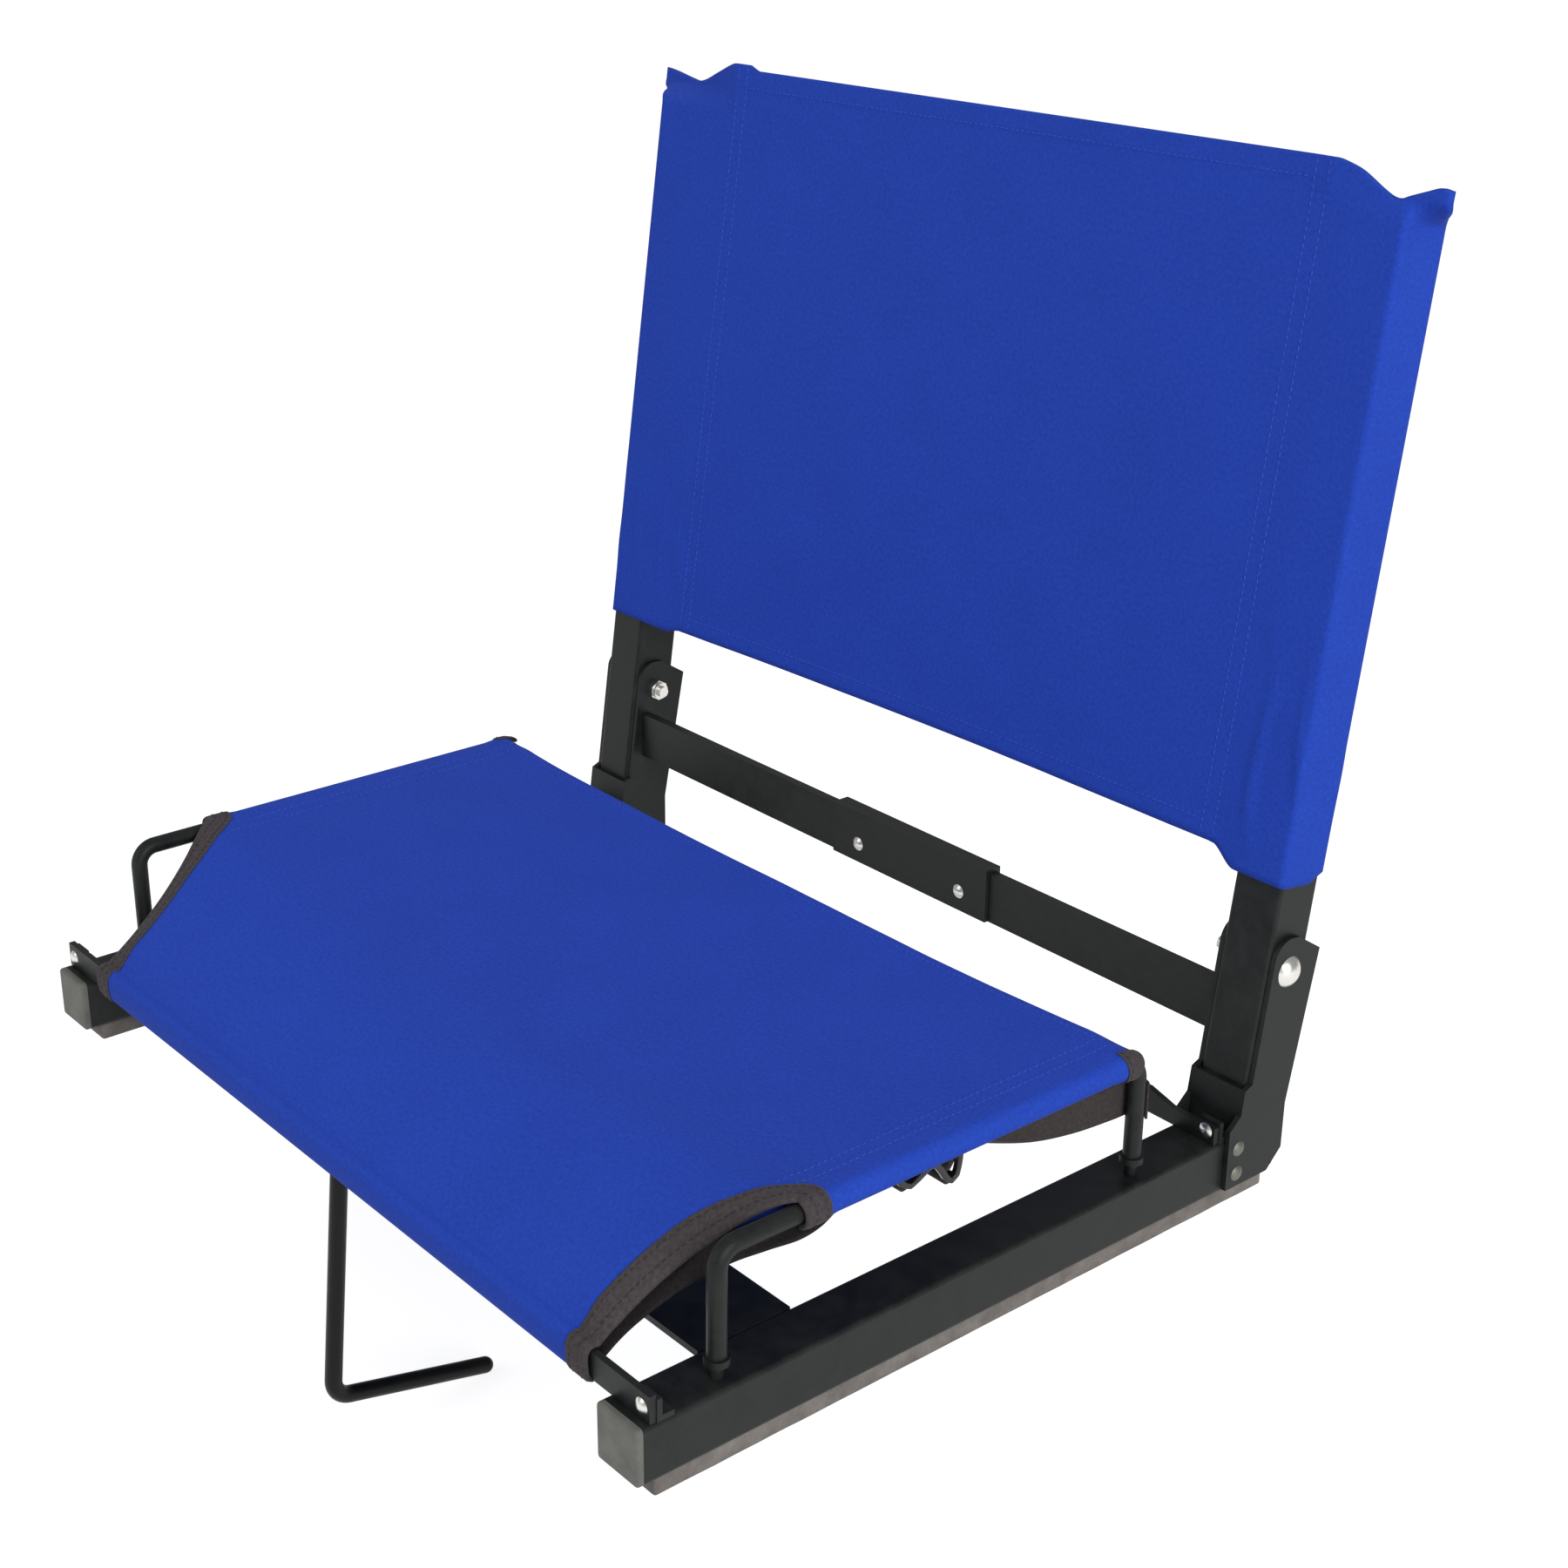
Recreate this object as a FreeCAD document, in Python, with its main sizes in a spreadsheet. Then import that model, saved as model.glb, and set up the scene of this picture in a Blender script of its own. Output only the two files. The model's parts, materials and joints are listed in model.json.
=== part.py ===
import FreeCAD, Part
import math
import os
import Sketcher

# A folding stadium seat. Millimetres, X to the sitter's left, Y to the rear, Z up.
# The origin is on the bench, midway between the two base rails and at half their length.

Vector = FreeCAD.Vector
LEFT = -1
RIGHT = 1
SIDES = {"left": LEFT, "right": RIGHT}

SIZES = {
    # Base rails and what closes and cushions them
    "tube_side": 25.4,
    "tube_wall": 1.5,
    "tube_corner": 2.0,
    "rail_centre": 227.0,
    "rail_reach": 176.0,
    "cap_thick": 3.0,
    "plug_depth": 14.0,
    "plug_wall": 2.0,
    "plug_play": 0.1,
    "pad_thick": 8.9,
    "pad_width": 22.0,
    "pad_front_inset": 6.0,
    "pad_rear_inset": 2.0,
    "pad_edge": 1.5,
    # Side rods, bent wire that stands on each rail and carries the seat cloth
    "rod_radius": 4.0,
    "rod_offset": 4.0,
    "rod_front_inset": 41.0,
    "rod_rear_inset": 84.0,
    "rod_rise": 55.2,
    "rod_bend": 9.0,
    "stem_radius": 2.75,
    "stem_rise": 6.0,
    "collar_radius": 5.2,
    "collar_thick": 3.0,
    "stem_head_radius": 4.2,
    "stem_head_thick": 1.5,
    "hole_play": 0.1,
    # Hinge brackets and pivot bolts
    "pivot_inset": 2.0,
    "pivot_rise": 74.7,
    "lean": 8.0,
    "bracket_sheet": 2.5,
    "bracket_gap": 0.3,
    "flange_front": 11.2,
    "flange_top": 16.0,
    "flange_round": 10.0,
    "flange_rear": 19.0,
    "flange_rear_top": 8.5,
    "flange_toe_inset": 33.0,
    "flange_toe_rise": 5.7,
    "flange_foot": 10.5,
    "flange_end_over": 4.0,
    "flange_end_rise": 7.7,
    "flange_end_cut": 9.0,
    "stop_gap": 0.2,
    "stop_top": 54.0,
    "bolt_radius": 3.0,
    "bolt_play": 0.06,
    "bolt_head_radius": 7.2,
    "bolt_head_thick": 3.8,
    "bolt_spare": 2.5,
    "nut_circle": 5.8,
    "nut_thick": 3.4,
    "nut_collar_radius": 4.6,
    "nut_collar_thick": 1.8,
    # Rivets
    "rivet_radius": 2.0,
    "rivet_head_radius": 3.6,
    "rivet_head_thick": 1.5,
    "rivet_tail_radius": 3.0,
    "rivet_tail_thick": 1.2,
    "bracket_rivet_inset": 26.0,
    "bracket_rivet_low": 17.0,
    "bracket_rivet_high": 29.5,
    # Rear crossbar between the brackets, two flat bars joined by a channel sleeve
    "crossbar_thick": 5.0,
    "crossbar_tall": 25.4,
    "crossbar_ahead": 10.0,
    "crossbar_below": 38.0,
    "splice_middle": 12.0,
    "splice_gap": 3.0,
    "sleeve_length": 112.0,
    "sleeve_sheet": 2.0,
    "sleeve_play": 0.2,
    "sleeve_rivet_half": 37.0,
    "sleeve_rivet_rise": 10.0,
    # Bars across the rails
    "bar_thick": 3.0,
    "bar_tall": 12.0,
    "bar_short": 0.7,
    "bar_lift": 0.2,
    "front_bar_inset": 6.5,
    "rear_bar_inset": 36.5,
    "rear_bar_taper": 14.3,
    "rear_bar_end_tall": 8.0,
    "bar_rivet_inset": 5.0,
    "bar_rivet_rise": 5.5,
    "lug_sheet": 2.5,
    "lug_width": 11.0,
    "lug_tall": 10.0,
    "lug_foot": 8.0,
    # Cross plate and the bleacher hook that hangs from it
    "plate_inset": 45.0,
    "plate_depth": 46.0,
    "plate_thick": 3.0,
    "hook_radius": 4.0,
    "hook_inset": 16.0,
    "hook_bend": 8.0,
    "hook_play": 0.08,
    "eye_sheet": 1.9,
    "eye_start": 12.0,
    "eye_length": 26.0,
    "hook_strap_spare": 7.0,
    "hook_tail": 8.0,
    "hook_leg": 126.0,
    "hook_foot": 83.0,
    "hook_foot_bend": 10.0,
    "hook_droop": 8.0,
    "hook_swing": 5.5,
    "retainer_radius": 6.6,
    "retainer_thick": 3.0,
    "retainer_play": 0.3,
    # Back uprights, in the leaning frame of the pivot
    "upright_foot": 62.0,
    "upright_top": 314.5,
    # Cloth
    "cloth": 1.2,
    "cloth_play": 0.3,
    "back_foot": 39.5,
    "back_over": 26.5,
    "back_panel_foot": 44.5,
    "back_stitch_left": 47.0,
    "back_stitch_right": 26.0,
    "back_panel_depth": 12.4,
    "back_bow": 2.0,
    "back_dip": 14.0,
    "seat_front_inset": 38.0,
    "seat_rod_gap": 0.5,
    "seat_cut_depth": 40.0,
    "seat_sleeve_inset": 10.0,
    "seat_rear_inset": 6.0,
    "seat_sag_front": 14.8,
    "seat_sag_rear": 2.8,
    "seat_stitch": 24.0,
    "binding_width": 11.0,
    "binding_thick": 2.2,
    # Closure strap and its buckle, under the right edge of the seat
    "strap_width": 17.0,
    "strap_thick": 1.2,
    "strap_slack": 1.4,
    "strap_drop": 26.0,
    "buckle_bar": 1.6,
    "buckle_length": 28.0,
    "buckle_frame": 3.0,
    "buckle_behind": 62.0,
    "buckle_front_drop": 12.5,
    "buckle_rear_drop": 19.5,
    "buckle_aside": 3.0,
    "tab_length": 13.0,
}

doc = FreeCAD.newDocument("stadium_seat")
sheet = doc.addObject("Spreadsheet::Sheet", "dims")
for row, (alias, value) in enumerate(SIZES.items(), start=1):
    sheet.set(f"A{row}", alias)
    sheet.set(f"B{row}", str(value))
    sheet.setAlias(f"B{row}", alias)
doc.recompute()

nodes = []

# Heights and places that several pieces share, as expressions on the sheet
RAIL_TOP = "(dims.pad_thick + dims.tube_side)"
HALF_TUBE = "(dims.tube_side / 2)"
ROD_CENTRE = "(dims.rail_centre + dims.rod_offset)"
ROD_TOP = f"({RAIL_TOP} + dims.rod_rise)"
ROD_FRONT = "(dims.rod_front_inset - dims.rail_reach)"
ROD_REAR = "(dims.rail_reach - dims.rod_rear_inset)"
PIVOT_REAR = "(dims.rail_reach - dims.pivot_inset)"
PIVOT_HEIGHT = f"({RAIL_TOP} + dims.pivot_rise)"
BRACKET_RIVET_REAR = "(dims.rail_reach - dims.bracket_rivet_inset)"
FLANGE_TOE = "(dims.rail_reach - dims.flange_toe_inset)"
FLANGE_END = "(dims.rail_reach + dims.flange_end_over)"
FLANGE_INSIDE = f"({HALF_TUBE} + dims.bracket_gap)"
FLANGE_OUTSIDE = f"({FLANGE_INSIDE} + dims.bracket_sheet)"
STOP_BACK = f"({HALF_TUBE} + dims.stop_gap)"
STOP_FRONT = f"({STOP_BACK} + dims.bracket_sheet)"
CROSSBAR_END = f"(dims.rail_centre - {FLANGE_OUTSIDE})"
CROSSBAR_FRONT = f"({PIVOT_REAR} - dims.crossbar_ahead)"
CROSSBAR_FOOT = f"({PIVOT_HEIGHT} - dims.crossbar_below)"
BAR_FOOT = f"({RAIL_TOP} + dims.bar_lift)"
BAR_REACH = f"(dims.rail_centre + {HALF_TUBE} - dims.bar_short)"
BAR_RIVET_REACH = f"({BAR_REACH} - dims.bar_rivet_inset)"
FRONT_BAR_BACK = "(dims.front_bar_inset - dims.rail_reach)"
REAR_BAR_BACK = "(dims.rail_reach - dims.rear_bar_inset)"
BAR_RIVET_HEIGHT = f"({BAR_FOOT} + dims.bar_rivet_rise)"
PLATE_FRONT = "(dims.plate_inset - dims.rail_reach)"
PLATE_FOOT = f"({RAIL_TOP} - dims.plate_thick)"
HOOK_REAR = "(dims.hook_inset - dims.rail_reach)"
EYE_RADIUS = "(dims.hook_radius + dims.hook_play + dims.eye_sheet)"
HOOK_HEIGHT = f"({PLATE_FOOT} - dims.eye_sheet + {EYE_RADIUS})"


def number(expression):
    return float(sheet.evalExpression(expression))


def drive(item, prop, expression):
    item.setExpression(prop, str(expression))


def put(item, place):
    for axis, expression in zip("xyz", place):
        drive(item, f"Placement.Base.{axis}", expression)


def keep(item, node):
    item.Label = node
    nodes.append(item)
    return item


def shift(place, direction, amount):
    steps = (direction.x, direction.y, direction.z)
    return tuple(f"({start}) + ({step}) * ({amount})" for start, step in zip(place, steps))


def turned_to(direction):
    return FreeCAD.Rotation(Vector(0, 0, 1), direction)


X_AXIS = Vector(1, 0, 0)
Y_AXIS = Vector(0, 1, 0)
Z_AXIS = Vector(0, 0, 1)


def box(name, corner, spans):
    item = doc.addObject("Part::Box", name)
    for prop, expression in zip(("Length", "Width", "Height"), spans):
        drive(item, prop, expression)
    put(item, corner)
    return item


def cylinder(name, radius, length, start, direction=Z_AXIS):
    item = doc.addObject("Part::Cylinder", name)
    item.Placement = FreeCAD.Placement(Vector(), turned_to(direction))
    drive(item, "Radius", radius)
    drive(item, "Height", length)
    put(item, start)
    return item


def bend(name, bend_radius, wire_radius, turn, centre, start, end):
    """A bent length of wire that sweeps from one side of its centre towards another."""
    item = doc.addObject("Part::Torus", name)
    item.Placement = FreeCAD.Placement(Vector(), FreeCAD.Rotation(start, end, start.cross(end), "XYZ"))
    drive(item, "Radius1", bend_radius)
    drive(item, "Radius2", wire_radius)
    drive(item, "Angle3", turn)
    put(item, centre)
    return item


def dome(name, radius, rise, base, direction):
    """A spherical cap that stands on a flat face."""
    item = doc.addObject("Part::Sphere", name)
    item.Placement = FreeCAD.Placement(Vector(), turned_to(direction))
    ball = f"(({radius})^2 + ({rise})^2) / (2 * ({rise}))"
    drive(item, "Radius", ball)
    drive(item, "Angle1", f"asin(({ball} - ({rise})) / ({ball}))")
    put(item, shift(base, direction, f"{rise} - {ball}"))
    return item


def join(name, parts):
    item = doc.addObject("Part::MultiFuse", name)
    item.Shapes = parts
    return item


def cut(name, base, tool):
    item = doc.addObject("Part::Cut", name)
    item.Base = base
    item.Tool = tool
    return item


def rivet(name, head, direction, grip):
    """A domed rivet: its head stands on the outer face at head, its shank goes inwards."""
    inwards = Vector(direction).multiply(-1)
    tail = shift(head, inwards, grip)
    parts = [
        cylinder(name + "_shank", "dims.rivet_radius", grip, head, inwards),
        dome(name + "_head", "dims.rivet_head_radius", "dims.rivet_head_thick", head, direction),
        dome(name + "_tail", "dims.rivet_tail_radius", "dims.rivet_tail_thick", tail, inwards),
    ]
    return join(name, parts)


def group(name, parts):
    item = doc.addObject("Part::Compound", name)
    item.Links = parts
    return item


def sketch_on(body, name, role, offset="0"):
    sketch = body.newObject("Sketcher::SketchObject", name)
    plane = [item for item in body.Origin.OriginFeatures if item.Role == role][0]
    sketch.AttachmentSupport = [(plane, "")]
    sketch.MapMode = "FlatFace"
    drive(sketch, "AttachmentOffset.Base.z", offset)
    return sketch


def outline(sketch, corners):
    """A closed polygon whose corners are pairs of expressions."""
    first = sketch.GeometryCount
    places = [Vector(number(across), number(up), 0) for across, up in corners]
    count = len(places)
    for index, start in enumerate(places):
        sketch.addGeometry(Part.LineSegment(start, places[(index + 1) % count]), False)
    for index in range(count):
        after = (index + 1) % count
        sketch.addConstraint(Sketcher.Constraint("Coincident", first + index, 2, first + after, 1))
    for index, (across, up) in enumerate(corners):
        for kind, expression, value in (
            ("DistanceX", across, places[index].x),
            ("DistanceY", up, places[index].y),
        ):
            rule = sketch.addConstraint(Sketcher.Constraint(kind, -1, 1, first + index, 1, value))
            drive(sketch, f"Constraints[{rule}]", expression)


def square(sketch, across, up, half):
    outline(sketch, [
        (f"{across} - {half}", f"{up} - {half}"),
        (f"{across} + {half}", f"{up} - {half}"),
        (f"{across} + {half}", f"{up} + {half}"),
        (f"{across} - {half}", f"{up} + {half}"),
    ])


def circle(sketch, across, up, radius):
    centre = Vector(number(across), number(up), 0)
    index = sketch.addGeometry(Part.Circle(centre, Vector(0, 0, 1), number(radius)), False)
    rules = (
        (Sketcher.Constraint("DistanceX", -1, 1, index, 3, centre.x), across),
        (Sketcher.Constraint("DistanceY", -1, 1, index, 3, centre.y), up),
        (Sketcher.Constraint("Radius", index, number(radius)), radius),
    )
    for rule, expression in rules:
        drive(sketch, f"Constraints[{sketch.addConstraint(rule)}]", expression)


def pad(body, name, sketch, length, both_ways=False, reverse=False):
    item = body.newObject("PartDesign::Pad", name)
    item.Profile = sketch
    item.SideType = "Symmetric" if both_ways else "One side"
    item.Reversed = reverse
    drive(item, "Length", length)
    return item


def pocket(body, name, sketch, length, both_ways=False, reverse=False):
    item = body.newObject("PartDesign::Pocket", name)
    item.Profile = sketch
    item.SideType = "Symmetric" if both_ways else "One side"
    item.Reversed = reverse
    drive(item, "Length", length)
    return item


def fillet(body, name, radius, wanted):
    """Rounds the edges of the body so far that the test picks out."""
    doc.recompute()
    base = body.Tip
    picked = [f"Edge{n}" for n, edge in enumerate(base.Shape.Edges, start=1) if wanted(edge)]
    item = body.newObject("PartDesign::Fillet", name)
    item.Base = (base, picked)
    drive(item, "Radius", radius)
    return item


def runs_along(edge, axis):
    start = edge.Vertexes[0].Point
    end = edge.Vertexes[-1].Point
    return (end - start).Length > 1 and abs((end - start).normalize().dot(axis)) > 0.999


def far_from(edge, centre, axis, reach):
    """True where an edge lies as far from a line along the axis as the outer corners of a tube."""
    offset = edge.CenterOfMass - centre
    flat = offset - Vector(axis).multiply(offset.dot(axis))
    return flat.Length > reach


def base_rail(name, side):
    """A square tube along the bench, with holes for the rod stems and the bracket rivets."""
    body = doc.addObject("PartDesign::Body", f"rail_{name}")
    across = f"{side} * dims.rail_centre"
    middle = f"dims.pad_thick + {HALF_TUBE}"
    section = sketch_on(body, f"rail_section_{name}", "XZ_Plane")
    square(section, across, middle, HALF_TUBE)
    square(section, across, middle, f"({HALF_TUBE} - dims.tube_wall)")
    pad(body, f"rail_tube_{name}", section, "2 * dims.rail_reach", both_ways=True)
    axis_point = Vector(number(across), 0, number(middle))
    corner = number("dims.tube_side") * 0.66
    fillet(
        body, f"rail_corners_{name}", "dims.tube_corner",
        lambda edge: runs_along(edge, Y_AXIS) and far_from(edge, axis_point, Y_AXIS, corner),
    )
    stems = sketch_on(body, f"rail_stem_holes_{name}", "XY_Plane", RAIL_TOP)
    for place in (ROD_FRONT, ROD_REAR):
        circle(stems, f"{side} * {ROD_CENTRE}", place, "dims.stem_radius + dims.hole_play")
    pocket(body, f"rail_stem_cut_{name}", stems, "2 * dims.tube_wall")
    rivets = sketch_on(body, f"rail_rivet_holes_{name}", "YZ_Plane", across)
    for height in ("dims.bracket_rivet_low", "dims.bracket_rivet_high"):
        circle(rivets, BRACKET_RIVET_REAR, height, "dims.rivet_radius + dims.hole_play")
    pocket(body, f"rail_rivet_cut_{name}", rivets, "2 * dims.tube_side", both_ways=True)
    keep(body, f"base_rail_{name}")


def rail_cap(name, side, end_name, end):
    """A moulded plug with a square flange that closes one end of a rail."""
    tag = f"{end_name}_{name}"
    across = f"{side} * dims.rail_centre"
    middle = f"dims.pad_thick + {HALF_TUBE}"
    half_plug = f"({HALF_TUBE} - dims.tube_wall - dims.plug_play)"
    offset = f"{-end} * dims.rail_reach"
    outwards = end > 0
    body = doc.addObject("PartDesign::Body", f"cap_{tag}")
    flange = sketch_on(body, f"cap_flange_sketch_{tag}", "XZ_Plane", offset)
    square(flange, across, middle, HALF_TUBE)
    pad(body, f"cap_flange_{tag}", flange, "dims.cap_thick", reverse=outwards)
    axis_point = Vector(number(across), 0, number(middle))
    reach = number("dims.tube_side") * 0.66
    fillet(
        body, f"cap_corners_{tag}", "dims.tube_corner",
        lambda edge: runs_along(edge, Y_AXIS) and far_from(edge, axis_point, Y_AXIS, reach))
    face = number(f"{end} * (dims.rail_reach + dims.cap_thick)")
    fillet(body, f"cap_edge_{tag}", "dims.pad_edge", lambda edge: abs(edge.CenterOfMass.y - face) < 0.01)
    plug = sketch_on(body, f"cap_plug_sketch_{tag}", "XZ_Plane", offset)
    square(plug, across, middle, half_plug)
    square(plug, across, middle, f"({half_plug} - dims.plug_wall)")
    pad(body, f"cap_plug_{tag}", plug, "dims.plug_depth", reverse=not outwards)
    keep(body, f"rail_cap_{tag}")


def rail_pad(name, side):
    """The foam strip under a rail that grips the bench."""
    strip = box(
        f"pad_strip_{name}",
        (
            f"{side} * dims.rail_centre - dims.pad_width / 2",
            "dims.pad_front_inset - dims.rail_reach",
            "0",
        ),
        (
            "dims.pad_width",
            "2 * dims.rail_reach - dims.pad_front_inset - dims.pad_rear_inset",
            "dims.pad_thick",
        ),
    )
    keep(strip, f"rail_pad_{name}")


def side_rod(name, side):
    """Bent wire: two legs and a level top, with a collar and a stem at each foot."""
    across = f"{side} * {ROD_CENTRE}"
    leg_foot = f"({RAIL_TOP} + dims.stem_rise)"
    leg_top = f"({ROD_TOP} - dims.rod_bend)"
    below_wall = f"({RAIL_TOP} - dims.tube_wall)"
    parts = []
    for end, place in (("front", ROD_FRONT), ("rear", ROD_REAR)):
        tag = f"{end}_{name}"
        parts.append(cylinder(
            f"rod_leg_{tag}", "dims.rod_radius", f"{leg_top} - {leg_foot}", (across, place, leg_foot)))
        parts.append(cylinder(
            f"rod_collar_{tag}", "dims.collar_radius", "dims.collar_thick", (across, place, leg_foot)))
        parts.append(cylinder(
            f"rod_stem_{tag}", "dims.stem_radius", f"{leg_foot} - {below_wall} + dims.stem_head_thick",
            (across, place, f"{below_wall} - dims.stem_head_thick")))
        parts.append(cylinder(
            f"rod_stem_head_{tag}", "dims.stem_head_radius", "dims.stem_head_thick",
            (across, place, f"{below_wall} - dims.stem_head_thick")))
    top_start = f"{ROD_FRONT} + dims.rod_bend"
    top_end = f"{ROD_REAR} - dims.rod_bend"
    parts.append(cylinder(
        f"rod_level_{name}", "dims.rod_radius", f"{top_end} - ({top_start})",
        (across, top_start, ROD_TOP), Y_AXIS))
    parts.append(bend(
        f"rod_front_bend_{name}", "dims.rod_bend", "dims.rod_radius", "90",
        (across, top_start, leg_top), Vector(0, -1, 0), Z_AXIS))
    parts.append(bend(
        f"rod_rear_bend_{name}", "dims.rod_bend", "dims.rod_radius", "90",
        (across, top_end, leg_top), Z_AXIS, Y_AXIS))
    keep(join(f"rod_{name}", parts), f"side_rod_{name}")


def leaned(forward, along):
    """A point of the leaning frame of the pivot, forward of the upright's line and up along it."""
    rear = f"{PIVOT_REAR} - ({forward}) * cos(dims.lean) + ({along}) * sin(dims.lean)"
    height = f"{PIVOT_HEIGHT} + ({forward}) * sin(dims.lean) + ({along}) * cos(dims.lean)"
    return rear, height


def leaned_at(forward, height):
    """The point on a line beside the upright where it crosses a height."""
    along = f"(({height}) - {PIVOT_HEIGHT} - ({forward}) * sin(dims.lean)) / cos(dims.lean)"
    return leaned(forward, along)


def hinge_bracket(name, side):
    """Folded sheet: two flanges, and a stop plate in front of the foot of the upright."""
    across = f"{side} * dims.rail_centre"
    body = doc.addObject("PartDesign::Body", f"bracket_{name}")
    profile = sketch_on(body, f"bracket_profile_{name}", "YZ_Plane", across)
    outline(profile, [
        (FLANGE_TOE, "dims.flange_foot"),
        (f"{FLANGE_END} - dims.flange_end_cut", "dims.flange_foot"),
        (FLANGE_END, "dims.flange_foot + dims.flange_end_cut"),
        (FLANGE_END, f"{RAIL_TOP} + dims.flange_end_rise"),
        leaned("-dims.flange_rear", "dims.flange_rear_top"),
        leaned("-dims.flange_front / 4", "dims.flange_top"),
        leaned("dims.flange_front", "dims.flange_top"),
        leaned("dims.flange_front", "-dims.stop_top + dims.bracket_sheet"),
        leaned(STOP_FRONT, "-dims.stop_top"),
        leaned_at(STOP_FRONT, f"{RAIL_TOP} + 2 * dims.flange_toe_rise"),
        (FLANGE_TOE, f"{RAIL_TOP} + dims.flange_toe_rise"),
    ])
    pad(body, f"bracket_blank_{name}", profile, f"2 * {FLANGE_OUTSIDE}", both_ways=True)
    round_rear, round_height = leaned("dims.flange_front", "dims.flange_top")
    corner = Vector(0, number(round_rear), number(round_height))
    fillet(
        body, f"bracket_round_{name}", "dims.flange_round",
        lambda edge: runs_along(edge, X_AXIS) and not far_from(edge, corner, X_AXIS, 0.1),
    )
    inside = sketch_on(body, f"bracket_inside_{name}", "YZ_Plane", across)
    outline(inside, [
        (f"{FLANGE_TOE} - dims.tube_side", "0"),
        (f"{PIVOT_REAR} + 2 * dims.tube_side", "0"),
        (f"{PIVOT_REAR} + 2 * dims.tube_side", f"{PIVOT_HEIGHT} + dims.tube_side"),
        (f"{FLANGE_TOE} - dims.tube_side", f"{PIVOT_HEIGHT} + dims.tube_side"),
    ])
    outline(inside, [
        leaned_at(STOP_FRONT, RAIL_TOP),
        leaned_at(STOP_BACK, RAIL_TOP),
        leaned(STOP_BACK, "-dims.stop_top"),
        leaned(STOP_FRONT, "-dims.stop_top"),
    ])
    pocket(body, f"bracket_channel_{name}", inside, f"2 * {FLANGE_INSIDE}", both_ways=True)
    holes = sketch_on(body, f"bracket_holes_{name}", "YZ_Plane", across)
    circle(holes, PIVOT_REAR, PIVOT_HEIGHT, "dims.bolt_radius + dims.bolt_play")
    for height in ("dims.bracket_rivet_low", "dims.bracket_rivet_high"):
        circle(holes, BRACKET_RIVET_REAR, height, "dims.rivet_radius + dims.hole_play")
    pocket(body, f"bracket_drilling_{name}", holes, "3 * dims.tube_side", both_ways=True)
    keep(body, f"hinge_bracket_{name}")


def bracket_rivets(name, side):
    """Four rivets that fasten a bracket to its rail, two on each side."""
    grip = "dims.bracket_sheet + dims.bracket_gap + dims.tube_wall"
    rivets = []
    for face_name, face in (("outer", side), ("inner", -side)):
        for level in ("low", "high"):
            head = (
                f"{side} * dims.rail_centre + {face} * {FLANGE_OUTSIDE}",
                BRACKET_RIVET_REAR,
                f"dims.bracket_rivet_{level}",
            )
            rivets.append(rivet(f"bracket_rivet_{face_name}_{level}_{name}", head, Vector(face, 0, 0), grip))
    keep(group(f"bracket_rivet_set_{name}", rivets), f"bracket_rivets_{name}")


def pivot_bolt(name, side):
    """A dome-headed bolt through both flanges and the upright, with its nut on the inside."""
    outwards = Vector(side, 0, 0)
    inwards = Vector(-side, 0, 0)
    under_head = (
        f"{side} * (dims.rail_centre + {FLANGE_OUTSIDE})", PIVOT_REAR, PIVOT_HEIGHT)
    nut_seat = (f"{side} * {CROSSBAR_END}", PIVOT_REAR, PIVOT_HEIGHT)
    nut_stack = "dims.nut_thick + dims.nut_collar_thick"
    shank = f"2 * {FLANGE_OUTSIDE} + {nut_stack} + dims.bolt_spare"
    bolt = join(f"bolt_{name}", [
        cylinder(f"bolt_shank_{name}", "dims.bolt_radius", shank, under_head, inwards),
        dome(f"bolt_head_{name}", "dims.bolt_head_radius", "dims.bolt_head_thick", under_head, outwards),
    ])
    keep(bolt, f"pivot_bolt_{name}")
    prism = doc.addObject("Part::Prism", f"nut_prism_{name}")
    prism.Polygon = 6
    prism.Placement = FreeCAD.Placement(Vector(), turned_to(inwards))
    drive(prism, "Circumradius", "dims.nut_circle")
    drive(prism, "Height", "dims.nut_thick")
    put(prism, nut_seat)
    collar = cylinder(
        f"nut_collar_{name}", "dims.nut_collar_radius", nut_stack, nut_seat, inwards)
    bore = cylinder(
        f"nut_bore_{name}", "dims.bolt_radius + dims.bolt_play", f"2 * ({nut_stack})",
        shift(nut_seat, outwards, nut_stack), inwards)
    nut = cut(f"nut_{name}", join(f"nut_solid_{name}", [prism, collar]), bore)
    keep(nut, f"pivot_nut_{name}")


def crossbar_rivet_places():
    height = f"{CROSSBAR_FOOT} + dims.sleeve_rivet_rise"
    return [
        (f"dims.splice_middle + {side} * dims.sleeve_rivet_half", height) for side in (LEFT, RIGHT)
    ]


SLEEVE_SKIN = "(dims.sleeve_play + dims.sleeve_sheet)"
SLEEVE_FRONT = f"({CROSSBAR_FRONT} - {SLEEVE_SKIN})"
SLEEVE_DEPTH = f"(dims.crossbar_thick + 2 * {SLEEVE_SKIN})"


def crossbar_drills(tag):
    drills = []
    for number_of, (across, height) in enumerate(crossbar_rivet_places()):
        start = (across, f"{SLEEVE_FRONT} - {SLEEVE_DEPTH}", height)
        drills.append(cylinder(
            f"crossbar_drill_{tag}_{number_of}", "dims.rivet_radius + dims.hole_play",
            f"3 * {SLEEVE_DEPTH}", start, Y_AXIS))
    return join(f"crossbar_drills_{tag}", drills)


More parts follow.
